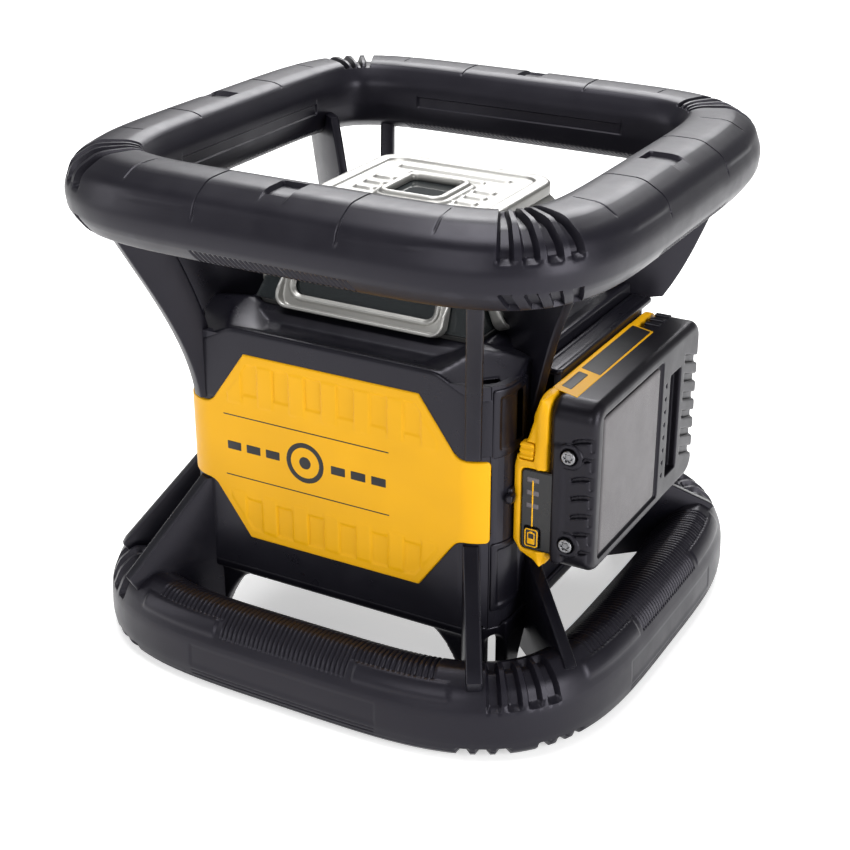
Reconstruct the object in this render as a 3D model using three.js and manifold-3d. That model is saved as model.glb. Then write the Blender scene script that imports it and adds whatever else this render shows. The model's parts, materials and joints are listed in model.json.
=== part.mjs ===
// Rotating laser level. A plastic body hangs between two bumper rings, a glass head stands on top in a
// metal cage, and a battery pack slides onto the right side. Millimetres, +Z up, front towards -Y,
// battery towards +X. The origin is on the ground under the middle of the rings.
import * as THREE from "three";
import { mergeVertices } from "three/addons/utils/BufferGeometryUtils.js";
import Module from "manifold-3d";

const wasm = await Module();
wasm.setup();

// ---------- Driving dimensions ----------

const air = 0.3; // left between neighbours that touch
const topOfRings = 233.5;
const upperRing = { half: 112, power: 5.5, halfWidth: 19.25, halfHeight: 15.75, round: 10 };
const lowerRing = { half: 113.4, power: 4.1, halfWidth: 18.5, halfHeight: 18.8, round: 11 };
const ringWall = 4;
const ringSlot = 4; // half height of the slot along a ring's inner side
const ringSteps = 32;

const body = { halfX: 80, halfY: 84.5, corner: 17, wall: 3.5, bottom: 38, top: 152 };
const deckTop = 156;
const curbTop = 158.2; // where the deck meets the cage
const seamY = -79.5; // the front shell ends half way round the front corners

const panel = { topZ: 144.7, bottomZ: 54.1, halfX: 43.9, notchX: 62.5, bandTop: 118.5, bandBottom: 80.1 };
const panelProud = 0.6;
const panelDepth = 2;

const cage = {
  top: 204,
  half: 45.5,
  corner: 12,
  sheet: 1.5,
  skirt: 6,
  footY: 59,
  footZ: 159,
  halfWidth: 42,
  rim: 7,
};
const windowHalf = 13; // opening in the cage's top plate

const gimbalZ = 112;
const pinRadius = 3; // of the pins that both tilts turn on
const rotorPulley = { radius: 20, bottom: 150, top: 156 };
const motorPulley = { radius: 6, x: -30 };
const armY = 38.5; // from the tilt axis to the plunger that tips the gimbal ring
const armRadius = 30.5;
const armAngle = Math.PI / 6;

const pack = { inner: 84.2, split: 96, outer: 117.5, front: -69, back: 50, bottom: 69, top: 147 };
const dock = { wall: 80, lip: 90.6, front: -46, back: 54, roof: 149.6, floor: 65.5 };
const keypad = { halfX: 34, bottom: 70, top: 130 };
const sideThreadZ = 99; // height of the tripod thread on the left side

// ---------- Colours ----------

const looks = {
  rubber: { color: 0x26252b, roughness: 0.55, metalness: 0 },
  black: { color: 0x1d1c21, roughness: 0.42, metalness: 0 },
  yellow: { color: 0xf9b31a, roughness: 0.4, metalness: 0 },
  sheet: { color: 0xd8d7d0, roughness: 0.32, metalness: 0.85 },
  glass: { color: 0x7f8a90, roughness: 0.08, metalness: 0 },
  seal: { color: 0x161616, roughness: 0.7, metalness: 0 },
  alloy: { color: 0xa9abae, roughness: 0.4, metalness: 0.8 },
  brass: { color: 0xb08d4a, roughness: 0.35, metalness: 0.9 },
  board: { color: 0x1e5a36, roughness: 0.5, metalness: 0 },
  cell: { color: 0x3f7f9a, roughness: 0.45, metalness: 0 },
  key: { color: 0x3b3a40, roughness: 0.5, metalness: 0 },
};

// ---------- Geometry helpers ----------

// A closed geometry as a solid: vertices merged, collapsed triangles dropped, faces turned outwards.
function solid(geometry) {
  const bare = geometry.clone();
  bare.deleteAttribute("normal");
  bare.deleteAttribute("uv");
  const merged = mergeVertices(bare, 1e-4);
  const index = merged.index.array;
  const kept = [];
  for (let i = 0; i < index.length; i += 3) {
    const [a, b, c] = [index[i], index[i + 1], index[i + 2]];
    if (a !== b && b !== c && c !== a) kept.push(a, b, c);
  }
  const made = manifoldOf(merged.attributes.position.array, kept);
  return made.volume() > 0 ? made : manifoldOf(merged.attributes.position.array, kept.reverse());
}

function manifoldOf(vertProperties, triangles) {
  return new wasm.Manifold(
    new wasm.Mesh({ numProp: 3, vertProperties, triVerts: new Uint32Array(triangles) }),
  );
}

function geometryOf(made) {
  const mesh = made.getMesh();
  const geometry = new THREE.BufferGeometry();
  geometry.setAttribute("position", new THREE.BufferAttribute(mesh.vertProperties, 3));
  geometry.setIndex(new THREE.BufferAttribute(mesh.triVerts, 1));
  geometry.computeVertexNormals();
  return geometry;
}

const join = (first, ...rest) => rest.reduce((sum, next) => sum.add(next), first);
const cut = (first, ...rest) => rest.reduce((left, next) => left.subtract(next), first);

function block([x0, x1], [y0, y1], [z0, z1]) {
  const geometry = new THREE.BoxGeometry(x1 - x0, y1 - y0, z1 - z0);
  geometry.translate((x0 + x1) / 2, (y0 + y1) / 2, (z0 + z1) / 2);
  return solid(geometry);
}

// A cylinder along "x", "y" or "z" from one coordinate to another, centred on the other two.
function rod(radius, axis, from, to, centre, sides = 14) {
  const geometry = new THREE.CylinderGeometry(radius, radius, to - from, sides);
  if (axis === "z") geometry.rotateX(Math.PI / 2);
  if (axis === "x") geometry.rotateZ(Math.PI / 2);
  const at = [...centre];
  at.splice("xyz".indexOf(axis), 0, (from + to) / 2);
  geometry.translate(...at);
  return solid(geometry);
}

// A ring or a stepped sleeve round the Z axis, from [radius, height] pairs that close on themselves.
function sleeve(profile, sides = 20) {
  const points = [...profile, profile[0]].map(([r, z]) => new THREE.Vector2(r, z));
  return solid(new THREE.LatheGeometry(points, sides).rotateX(Math.PI / 2));
}

function outline(points) {
  return new THREE.Shape(points.map(([a, b]) => new THREE.Vector2(a, b)));
}

// An outline with each corner rounded off over the given length of its sides.
function softOutline(points, length) {
  const corners = points.map(([a, b]) => new THREE.Vector2(a, b));
  const shape = new THREE.Shape();
  corners.forEach((corner, i) => {
    const before = corners.at(i - 1).clone().sub(corner).setLength(length).add(corner);
    const after = corners[(i + 1) % corners.length].clone().sub(corner).setLength(length).add(corner);
    if (i === 0) shape.moveTo(before.x, before.y);
    else shape.lineTo(before.x, before.y);
    shape.quadraticCurveTo(corner.x, corner.y, after.x, after.y);
  });
  return shape;
}

// The same polygon with every side moved outwards by the given distance.
function grown(points, distance) {
  return points.map((point, i) => {
    const [ax, ay] = points.at(i - 1);
    const [bx, by] = point;
    const [cx, cy] = points[(i + 1) % points.length];
    const [u, v] = [Math.hypot(bx - ax, by - ay), Math.hypot(cx - bx, cy - by)];
    const [nx, ny] = [(by - ay) / u, (ax - bx) / u];
    const [mx, my] = [(cy - by) / v, (bx - cx) / v];
    const scale = distance / (1 + nx * mx + ny * my);
    return [bx + (nx + mx) * scale, by + (ny + my) * scale];
  });
}

function roundedRect(halfX, halfY, radius) {
  const shape = new THREE.Shape();
  const [a, b] = [halfX - radius, halfY - radius];
  shape.absarc(a, b, radius, 0, Math.PI / 2);
  shape.absarc(-a, b, radius, Math.PI / 2, Math.PI);
  shape.absarc(-a, -b, radius, Math.PI, 1.5 * Math.PI);
  shape.absarc(a, -b, radius, 1.5 * Math.PI, 2 * Math.PI);
  shape.closePath();
  return shape;
}

function extruded(shape, depth, curveSegments) {
  return new THREE.ExtrudeGeometry(shape, { depth, bevelEnabled: false, curveSegments });
}

const prismZ = (shape, z0, z1, steps = 4) => solid(extruded(shape, z1 - z0, steps).translate(0, 0, z0));

// An outline drawn in X and Z, extruded along Y.
const plateY = (shape, y0, y1, steps = 4) =>
  extruded(shape, y1 - y0, steps).rotateX(Math.PI / 2).translate(0, y1, 0);
const prismY = (shape, y0, y1, steps) => solid(plateY(shape, y0, y1, steps));

// An outline drawn in Y and Z, extruded along X.
const prismX = (shape, x0, x1, steps = 4) =>
  solid(extruded(shape, x1 - x0, steps).rotateX(Math.PI / 2).rotateZ(Math.PI / 2).translate(x0, 0, 0));

// A tapered block: one [halfX, halfY, z] per level.
function tapered(levels) {
  const last = levels.length - 1;
  const geometry = new THREE.BoxGeometry(2, 2, last, 1, 1, last);
  const at = geometry.attributes.position;
  for (let i = 0; i < at.count; i += 1) {
    const [halfX, halfY, z] = levels[Math.round(at.getZ(i) + last / 2)];
    at.setXYZ(i, at.getX(i) * halfX, at.getY(i) * halfY, z);
  }
  return solid(geometry);
}

const parts = new THREE.Group();

function piece(name, made, look) {
  const mesh = new THREE.Mesh(geometryOf(made), new THREE.MeshStandardMaterial(look));
  mesh.name = name;
  parts.add(mesh);
}

const corners = [-1, 1].flatMap((sx) => [-1, 1].map((sy) => ({ sx, sy })));
const cornerName = ({ sx, sy }) => (sy < 0 ? "front" : "rear") + "_" + (sx < 0 ? "left" : "right");

// ---------- Bumper rings ----------

// Points round a rounded rectangular section, clockwise from its inner side.
function sectionArcs(halfWidth, halfHeight, radius, steps) {
  const starts = [
    [-1, 1, Math.PI],
    [1, 1, Math.PI / 2],
    [1, -1, 0],
    [-1, -1, -Math.PI / 2],
  ];
  return starts.flatMap(([side, end, start]) =>
    Array.from({ length: steps + 1 }, (_, i) => {
      const turn = start - (Math.PI / 2) * (i / steps);
      return new THREE.Vector2(
        side * (halfWidth - radius) + radius * Math.cos(turn),
        end * (halfHeight - radius) + radius * Math.sin(turn),
      );
    }),
  );
}

// Sweeps a section round a rounded square: a turned ring whose centre line is bent into a superellipse.
function sweptRing(ring, section, centreZ) {
  const reach = ring.half;
  const profile = [...section, section[0]].map((p) => new THREE.Vector2(reach + p.x, p.y));
  const geometry = new THREE.LatheGeometry(profile, ringSteps);
  const at = geometry.attributes.position;
  const power = (value, exponent) => Math.sign(value) * Math.abs(value) ** exponent;
  for (let i = 0; i < at.count; i += 1) {
    const radius = Math.hypot(at.getX(i), at.getZ(i));
    const [c, s] = [at.getX(i) / radius, at.getZ(i) / radius].map((v) => (Math.abs(v) < 1e-6 ? 0 : v));
    const [x, y] = [power(c, 2 / ring.power), power(s, 2 / ring.power)];
    const normal = new THREE.Vector2(power(x, ring.power - 1), power(y, ring.power - 1)).normalize();
    const out = radius - reach;
    at.setXYZ(i, reach * x + normal.x * out, reach * y + normal.y * out, at.getY(i) + centreZ);
  }
  return solid(geometry);
}

const ringCentre = (ring) => (ring === upperRing ? topOfRings - ring.halfHeight : ring.halfHeight);

// A hollow bumper, open along a slot on its inner side.
function bumper(ring) {
  const { halfWidth: w, halfHeight: h, round } = ring;
  const outside = sectionArcs(w, h, round, 2);
  const [x, z] = [w - ringWall, h - ringWall - 1];
  const inside = [
    [-w, -ringSlot],
    [-x, -ringSlot],
    [-x, -z],
    [x, -z],
    [x, z],
    [-x, z],
    [-x, ringSlot],
    [-w, ringSlot],
  ].map(([a, b]) => new THREE.Vector2(a, b));
  const section = [...outside, ...inside];
  return sweptRing(ring, section, ringCentre(ring));
}

// The space that a bumper fills, with air round it, for trimming the posts that meet it.
function bumperSpace(ring) {
  const { halfWidth: w, halfHeight: h, round } = ring;
  return sweptRing(ring, sectionArcs(w + air, h + air, round + air, 2), ringCentre(ring));
}

piece("upper_ring", bumper(upperRing), looks.rubber);
piece("lower_ring", bumper(lowerRing), looks.rubber);

// ---------- Posts, deck and base tray ----------

// A vertical web standing out of the body at one corner. Its profile is drawn outwards and upwards
// from a base point, and leans away from the face's normal by the given angle towards the corner.
function web({ sx, sy }, face, base, lean, thickness, profile) {
  const along = face === "front" ? [Math.sin(lean), Math.cos(lean)] : [Math.cos(lean), Math.sin(lean)];
  const geometry = plateY(outline(profile), -thickness / 2, thickness / 2);
  geometry.rotateZ(Math.atan2(sy * along[1], sx * along[0]));
  geometry.translate(sx * base[0], sy * base[1], 0);
  return solid(geometry);
}

function bodyPrism(offset, z0, z1) {
  return prismZ(roundedRect(body.halfX + offset, body.halfY + offset, body.corner + offset), z0, z1);
}

const frontFin = [
  [0, body.top + air],
  [5, 158],
  [33, 206],
  [7, 206],
  [-22, 163],
  [-22, body.top + air],
];
const sideFin = [
  [5, body.top + air],
  [27, 181.5],
  [45, 206],
  [12, 206],
  [-16, 163],
  [-16, body.top + air],
];

// The deck closes the body's top, rises to the cage, and carries a pair of fins at each corner.
function upperDeck() {
  const plate = bodyPrism(0, body.top + air, deckTop);
  const slope = tapered([
    [77, 81, deckTop - 1],
    [61, 61, curbTop],
  ]);
  const hollow = tapered([
    [74, 78, body.top - 1],
    [57, 57, deckTop],
  ]);
  const headHole = prismZ(roundedRect(50, 50, 10), body.top - 1, curbTop + 1);
  const fins = corners.flatMap((corner) => [
    web(corner, "front", [66, body.halfY], 0.32, 9, frontFin),
    web(corner, "side", [body.halfX, corner.sy < 0 ? 48 : 56], 0.69, 7, sideFin),
  ]);
  return cut(join(cut(join(plate, slope), hollow), ...fins), headHole, bumperSpace(upperRing));
}

piece("upper_deck", upperDeck(), looks.black);

// The legs on the battery's side are lower and further in, so that the pack slides past them.
const legProfile = (topZ) => [
  [0, topZ],
  [1, topZ],
  [37, 42],
  [36, 20],
  [12, 20],
  [2, 29],
  [-9, 31],
  [-9, topZ - 4],
];

function baseTray() {
  const rim = bodyPrism(0, 34, body.bottom - air);
  const floor = prismZ(roundedRect(body.halfX - 6, body.halfY - 6, 13), 30, 35);
  const inside = prismZ(roundedRect(body.halfX - 9, body.halfY - 9, 10), 33, body.bottom);
  const legs = corners.flatMap((corner) => [
    web(corner, "front", [69, body.halfY], 0.42, 6.5, legProfile(79)),
    corner.sx < 0
      ? web(corner, "side", [body.halfX, 64], 0.75, 6.5, legProfile(79))
      : web(corner, "side", [body.halfX, 50], 0.75, 6.5, legProfile(62)),
  ]);
  const shellSpace = bodyPrism(air, body.bottom - air, body.top);
  const threadHole = rod(17, "z", 25, 45, [0, 0], 20);
  const screwHoles = corners.map(({ sx, sy }) => rod(2.3, "z", 25, 45, [sx * 58, sy * 62], 8));
  const tray = cut(join(rim, floor), inside);
  const legsOutside = cut(join(...legs), shellSpace);
  return cut(join(tray, legsOutside), threadHole, ...screwHoles, bumperSpace(lowerRing));
}

piece("base_tray", baseTray(), looks.black);

// ---------- Body shells and their panels ----------

const half = panel.halfX;
const notch = panel.notchX;
const frontPanelOutline = [
  [-half, panel.bottomZ],
  [half, panel.bottomZ],
  [notch, panel.bandBottom],
  [75.2, panel.bandBottom],
  [75.2, panel.bandTop],
  [notch, panel.bandTop],
  [half, panel.topZ],
  [-half, panel.topZ],
  [-notch, panel.bandTop],
  [-95, panel.bandTop],
  [-95, panel.bandBottom],
  [-notch, panel.bandBottom],
];
const leftPanelOutline = [
  [-40, panel.bottomZ],
  [40, panel.bottomZ],
  [57, panel.bandBottom],
  [69.5, panel.bandBottom],
  [69.5, panel.bandTop],
  [57, panel.bandTop],
  [40, panel.topZ],
  [-40, panel.topZ],
  [-57, panel.bandTop],
  [-69.5, panel.bandTop],
  [-69.5, panel.bandBottom],
  [-57, panel.bandBottom],
];
const panelRound = 3.5;
const frontPanelEnd = -70; // the front panel wraps round the left corner as far as this

function skin(outside, inside) {
  return cut(bodyPrism(outside, body.bottom, body.top), bodyPrism(inside, body.bottom - 1, body.top + 1));
}

function frontPanel() {
  const shape = softOutline(frontPanelOutline, panelRound);
  return skin(panelProud, -panelDepth).intersect(prismY(shape, -95, frontPanelEnd));
}

function frontPanelPocket() {
  const shape = softOutline(grown(frontPanelOutline, air), panelRound);
  return skin(panelProud + 1, -panelDepth - air).intersect(prismY(shape, -95, frontPanelEnd + air));
}

const threadBossRadius = 24;

function leftPanel() {
  const shape = softOutline(leftPanelOutline, panelRound);
  const boss = rod(threadBossRadius + air, "x", -90, -70, [0, sideThreadZ], 24);
  return cut(skin(panelProud, -panelDepth).intersect(prismX(shape, -95, -70)), boss);
}

function leftPanelPocket() {
  const shape = softOutline(grown(leftPanelOutline, air), panelRound);
  const pocket = skin(panelProud + 1, -panelDepth - air).intersect(prismX(shape, -95, -70));
  return cut(pocket, rod(threadBossRadius, "x", -90, -70, [0, sideThreadZ], 24));
}

piece("front_panel", frontPanel(), looks.yellow);
piece("left_panel", leftPanel(), looks.yellow);

const shellWall = cut(skin(0, -body.wall), frontPanelPocket());

function frontShell() {
  return shellWall.intersect(block([-90, 90], [-90, seamY - air / 2], [0, 200]));
}

const keypadWindow = block(
  [-keypad.halfX + 5, keypad.halfX - 5],
  [70, 90],
  [keypad.bottom + 3, keypad.top - 5],
);

function rearShell() {
  const behind = shellWall.intersect(block([-90, 90], [seamY + air / 2, 90], [0, 200]));
  const sideThreadHole = rod(15, "x", -90, -70, [0, sideThreadZ], 24);
  const terminalHole = block([70, 90], [-8, 44], [92, 126]);
  return cut(behind, leftPanelPocket(), sideThreadHole, terminalHole, keypadWindow);
}

piece("front_shell", frontShell(), looks.black);
piece("rear_shell", rearShell(), looks.black);

// ---------- Keypad on the rear ----------

const keys = [
  { name: "power_button", x: 0, z: 80, radius: 5.5 },
  { name: "speed_button", x: -19, z: 119, radius: 4.5 },
  { name: "scan_button", x: 19, z: 119, radius: 4.5 },
  { name: "up_button", x: 0, z: 117, radius: 4.5 },
  { name: "down_button", x: 0, z: 95, radius: 4.5 },
  { name: "left_button", x: 13, z: 106, radius: 4.5 },
  { name: "right_button", x: -13, z: 106, radius: 4.5 },
];
const keypadFace = body.halfY + 2.5;
const keyProud = 1.8;

function keypadPanel() {
  const middle = (keypad.bottom + keypad.top) / 2;
  const shape = roundedRect(keypad.halfX, (keypad.top - keypad.bottom) / 2, 6);
  const plate = solid(plateY(shape, body.halfY + air, keypadFace).translate(0, 0, middle));
  const holes = keys.map(({ x, z, radius }) => rod(radius + 0.5, "y", 70, 95, [x, z], 12));
  return cut(plate, ...holes);
}

piece("keypad_panel", keypadPanel(), looks.black);
for (const { name, x, z, radius } of keys) {
  piece(name, rod(radius, "y", body.halfY - 3, keypadFace + keyProud, [x, z], 12), looks.key);
}

// ---------- Tripod threads and base screws ----------

const threadRadius = 7.9; // 5/8 inch, drawn without its helix

piece(
  "tripod_insert_bottom",
  sleeve([
    [threadRadius, 27],
    [15, 27],
    [16.6, 28.5],
    [16.6, 46],
    [threadRadius, 46],
  ]),
  looks.brass,
);

function sideInsert() {
  const profile = [
    [threadRadius, 0],
    [13, 0],
    [14.6, 1.5],
    [14.6, 18],
    [threadRadius, 18],
  ];
  const points = [...profile, profile[0]].map(([r, z]) => new THREE.Vector2(r, z));
  const turned = new THREE.LatheGeometry(points, 24).rotateZ(-Math.PI / 2);
  return solid(turned.translate(-82, 0, sideThreadZ));
}

piece("tripod_insert_side", sideInsert(), looks.brass);

for (const corner of corners) {
  const at = [corner.sx * 58, corner.sy * 62];
  const screw = join(rod(2, "z", 29, 42, at, 8), rod(3.8, "z", 28.2, 29.7, at, 10));
  piece("base_screw_" + cornerName(corner), screw, looks.alloy);
}

// ---------- Head: cage, windows and seal ----------

function cageTopPlate() {
  const { half: h, corner, sheet, top, skirt } = cage;
  const outside = prismZ(roundedRect(h, h, corner), top - skirt, top);
  const inside = prismZ(roundedRect(h - sheet, h - sheet, corner - sheet), top - skirt - 1, top - sheet);
  const sunk = cut(
    prismZ(roundedRect(h - 5, h - 5, corner - 4), top - 0.8, top + 1),
    prismZ(roundedRect(windowHalf + 4, windowHalf + 4, 4), top - 1, top + 2),
  );
  const opening = prismZ(roundedRect(windowHalf, windowHalf, 2.5), top - 5, top + 5);
  return cut(outside, inside, sunk, opening);
}

piece("cage_top_plate", cageTopPlate(), looks.sheet);

// One leaning side of the cage: a stamped frame round a window, drawn flat and tipped inwards.
const cageRise = cage.top - cage.skirt - air - cage.footZ;
const cageRun = cage.footY - (cage.half - 1);
const cageLean = Math.atan2(cageRun, cageRise);
const cageSlant = Math.hypot(cageRise, cageRun);

function leaningFrame(turn) {
  const { halfWidth: w, rim, sheet } = cage;
  const rectangle = (x, low, high) => [
    [-x, low],
    [x, low],
    [x, high],
    [-x, high],
  ];
  const frame = softOutline(rectangle(w, 0, cageSlant), 5);
  const hole = softOutline(rectangle(w - rim, rim, cageSlant - rim), 4);
  frame.holes.push(new THREE.Path(hole.getPoints(3)));
  const flat = plateY(frame, 0, sheet, 3);
  flat.rotateX(-cageLean);
  flat.translate(0, -cage.footY, cage.footZ);
  return solid(flat.rotateZ(turn));
}

const sides = [
  ["front", 0],
  ["right", Math.PI / 2],
  ["rear", Math.PI],
  ["left", -Math.PI / 2],
];
for (const [name, turn] of sides) {
  piece("cage_frame_" + name, leaningFrame(turn), looks.sheet);
}

// The head window is one moulding: four leaning walls behind the frames, open above and below.
function headWindow() {
  const wallAt = (z) => {
    const inward = (z - cage.footZ) * (cageRun / cageRise);
    return cage.footY - inward - (cage.sheet + 1) / Math.cos(cageLean);
  };
  const [z0, z1] = [cage.footZ + 1.5, cage.top - cage.skirt - 1];
  const thick = 2;
  const outside = tapered([
    [wallAt(z0), wallAt(z0), z0],
    [wallAt(z1), wallAt(z1), z1],
  ]);
  const inside = tapered([
    [wallAt(z0 - 1) - thick, wallAt(z0 - 1) - thick, z0 - 1],
    [wallAt(z1 + 1) - thick, wallAt(z1 + 1) - thick, z1 + 1],
  ]);
  return cut(outside, inside);
}

piece("head_window", headWindow(), looks.glass);
const underPlate = cage.top - cage.sheet - air;
piece(
  "top_window",
  prismZ(roundedRect(windowHalf + 3, windowHalf + 3, 3), underPlate - 2.5, underPlate),
  looks.glass,
);
piece(
  "head_gasket",
  cut(
    prismZ(roundedRect(56.5, 56.5, 8), curbTop + air, cage.footZ + 1.2),
    prismZ(roundedRect(51, 51, 8), curbTop - 1, cage.footZ + 3),
  ),
  looks.seal,
);

// ---------- Gimbal and laser tube ----------

// A square frame on four feet holds the gimbal ring's pins, and its shelf holds a levelling motor.
function chassisFrame() {
  const frame = cut(
    block([-50, 50], [-50, 50], [gimbalZ - 8, gimbalZ + 8]),
    block([-42, 42], [-42, 42], [gimbalZ - 9, gimbalZ + 9]),
  );
  const shelf = cut(block([-50, 50], [-50, 50], [66, 69]), rod(24, "z", 60, 75, [0, 0], 20));
  const feetRun = [body.bottom - 3, gimbalZ];
  const feet = corners.map(({ sx, sy }) => block(ends(sx, 42, 50), ends(sy, 42, 50), feetRun));
  const bore = rod(pinRadius + air, "x", -60, 60, [0, gimbalZ], 20);
  return cut(join(frame, shelf, ...feet), bore);
}

function ends(sign, near, far) {
  return sign < 0 ? [-far, -near] : [near, far];
}

piece("chassis_frame", chassisFrame(), looks.alloy);

const armPoint = [armRadius * Math.cos(armAngle), armRadius * Math.sin(armAngle)];

function gimbalRing() {
  const ring = sleeve([
    [26, gimbalZ - 5],
    [35, gimbalZ - 5],
    [35, gimbalZ + 5],
    [26, gimbalZ + 5],
  ]);
  const pins = [-1, 1].map((side) => rod(pinRadius, "x", ...ends(side, 34, 48), [0, gimbalZ], 16));
  const arm = block([-5, 5], [33, 41.2], [gimbalZ - 3, gimbalZ + 1]);
  const trunnionBore = rod(pinRadius + air, "y", -40, 30, [0, gimbalZ], 20);
  const plungerBore = rod(2.5, "z", 100, 125, armPoint, 14);
  return cut(join(ring, ...pins, arm), trunnionBore, plungerBore);
}

piece("gimbal_ring", gimbalRing(), looks.alloy);

// The tube tips in the gimbal ring on two trunnions, and carries the drive motor's bracket.
function laserTube() {
  const barrel = sleeve([
    [8, 62],
    [13, 62],
    [13, 146],
    [9, 150],
    [9, 164],
    [7, 164],
    [7, 150],
    [8, 146],
  ]);
  const trunnions = [
    rod(pinRadius, "y", -33, -12, [0, gimbalZ], 20),
    rod(pinRadius, "y", 12, 29, [0, gimbalZ], 20),
  ];
  const bracket = cut(
    block([motorPulley.x - 11, 12], [-11, 11], [145, 148]),
    rod(8.5, "z", 140, 150, [0, 0], 24),
    rod(2.5, "z", 140, 150, [motorPulley.x, 0], 12),
  );
  const reach = new THREE.BoxGeometry(armRadius - 8, 8, 3.5);
  reach.translate((armRadius + 16) / 2, 0, gimbalZ + 10.5);
  const arm = solid(reach.rotateZ(armAngle));
  return join(barrel, ...trunnions, bracket, arm);
}

piece("laser_tube", laserTube(), looks.alloy);
piece("laser_diode_module", rod(7.5, "z", 54, 80, [0, 0], 20), looks.brass);

function lens(radius, z, rise) {
  const points = [
    [0, z - rise],
    [radius * 0.6, z - rise * 0.6],
    [radius, z],
    [radius, z + 1.5],
    [radius * 0.6, z + 1.5 + rise * 0.6],
    [0, z + 1.5 + rise],
  ].map(([r, h]) => new THREE.Vector2(r, h));
  return solid(new THREE.LatheGeometry(points, 20).rotateX(Math.PI / 2));
}

piece("collimator_lens", lens(7.5, 100, 1.6), looks.glass);
piece("level_vial_x", rod(3, "x", -11, 11, [-16.8, 86], 14), looks.glass);
piece("level_vial_y", rod(3, "y", -11, 11, [16.8, 92], 14), looks.glass);

// ---------- Levelling motors ----------

// A levelling motor has an open bore, and its plunger rises out of it to lift an arm.
function levellingMotor(radius, bore, [x, y], z0, z1) {
  return cut(rod(radius, "z", z0, z1, [x, y], 18), rod(bore, "z", z0 - 1, z1 + 1, [x, y], 14));
}

piece("levelling_motor_x", levellingMotor(8, 3.2, [0, armY], 69 + air, 91), looks.alloy);
piece("levelling_plunger_x", rod(2, "z", 75, gimbalZ - 3.8, [0, armY], 14), looks.brass);
piece("levelling_motor_y", levellingMotor(6.5, 2.6, armPoint, 84, gimbalZ - 5 - air), looks.alloy);
piece("levelling_plunger_y", rod(2, "z", 90, gimbalZ + 8, armPoint, 14), looks.brass);

// ---------- Rotating head and its drive ----------

piece(
  "rotor_bearing",
  sleeve([
    [9 + air, 157],
    [14, 157],
    [14, 163],
    [9 + air, 163],
  ]),
  looks.alloy,
);

// The hub turns round the bearing: a pulley below, and a box above that holds the prism.
function rotorHub() {
  const { radius, bottom, top } = rotorPulley;
  const bell = sleeve(
    [
      [14 + air, bottom],
      [radius + 1.5, bottom],
      [radius, bottom + 1],
      [radius, top - 1],
      [radius + 1.5, top],
      [radius + 1.5, 168],
      [6, 168],
      [6, 165],
      [14 + air, 165],
    ],
    24,
  );
  const boxOutside = block([-13, 13], [-13, 13], [167, 190]);
  const boxInside = block([-10.5, 10.5], [-20, 10.5], [169, 188]);
  const beamHole = rod(5, "z", 160, 195, [0, 0], 16);
  return cut(join(bell, boxOutside), boxInside, beamHole);
}

piece("rotor_hub", rotorHub(), looks.black);

// A five-sided prism that turns the beam through a right angle.
function pentaprism() {
  const shape = outline([
    [-9, 170],
    [5, 170],
    [9.5, 179],
    [3, 187],
    [-9, 185],
  ]);
  return prismX(shape, -9, 9);
}

piece("pentaprism", pentaprism(), looks.glass);
piece("rotor_lens", block([-9.5, 9.5], [-12.6, -10.6], [170, 187]), looks.glass);

const motorAt = [motorPulley.x, 0];
const beltHalf = 1.7;
const beltZ = (rotorPulley.bottom + rotorPulley.top) / 2;

piece(
  "drive_motor",
  join(rod(10, "z", 124, 145 - air, motorAt, 20), rod(1.5, "z", 140, 158, motorAt, 10)),
  looks.alloy,
);
piece(
  "motor_pulley",
  cut(
    join(
      rod(motorPulley.radius, "z", 150, 156, motorAt, 18),
      rod(motorPulley.radius + 1.2, "z", 149.5, 150.6, motorAt, 18),
      rod(motorPulley.radius + 1.2, "z", 155.4, 156.5, motorAt, 18),
    ),
    rod(1.8, "z", 145, 160, motorAt, 12),
  ),
  looks.alloy,
);

// The belt's loop round two circles of unlike radius, with straight runs that touch both.
function beltLoop(big, small) {
  const spread = Math.abs(motorPulley.x);
  const touch = Math.acos((big - small) / spread);
  const shape = new THREE.Shape();
  shape.absarc(0, 0, big, -(Math.PI - touch), Math.PI - touch);
  shape.absarc(motorPulley.x, 0, small, Math.PI - touch, Math.PI + touch);
  shape.closePath();
  return shape;
}

const beltPrism = (thick, high) =>
  prismZ(
    beltLoop(rotorPulley.radius + thick, motorPulley.radius + thick),
    beltZ - high,
    beltZ + high,
    8,
  );

piece("drive_belt", cut(beltPrism(1.2, beltHalf), beltPrism(air, beltHalf + 1)), looks.seal);

// ---------- Circuit board ----------

piece(
  "main_board",
  join(
    block([-55, 55], [66, 68], [48, 142]),
    block([-40, -22], [62, 66.5], [60, 76]),
    block([10, 22], [63, 66.5], [96, 108]),
    block([30, 44], [60, 66.5], [56, 84]),
  ),
  looks.board,
);

// ---------- Battery dock ----------

// A channel on the body's right side. Lips above and below hold the pack's grooves.
function batteryDock() {
  const { wall, lip, front, back, roof, floor } = dock;
  const run = [front, back];
  const lipX = [lip - 3.2, lip];
  const outside = block([wall + air, lip], run, [floor, roof]);
  const packRun = [pack.bottom - 0.6, pack.top + 0.6];
  const hollow = block([wall + 3.5, lip + 1], [front - 1, back - 3.5], packRun);
  const upperLip = block(lipX, run, [pack.top - 5.5, pack.top + 1]);
  const lowerLip = block(lipX, run, [pack.bottom - 1, pack.bottom + 5.5]);
  const terminalHole = block([wall - 1, wall + 5], [-8, 44], [92, 126]);
  const roofEnd = block([wall + 3.8, lip + 1], [back - 12, back + 1], [pack.top - 6, roof + 1]);
  return cut(join(cut(outside, hollow), upperLip, lowerLip), terminalHole, roofEnd);
}

piece("battery_dock", batteryDock(), looks.black);

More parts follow.
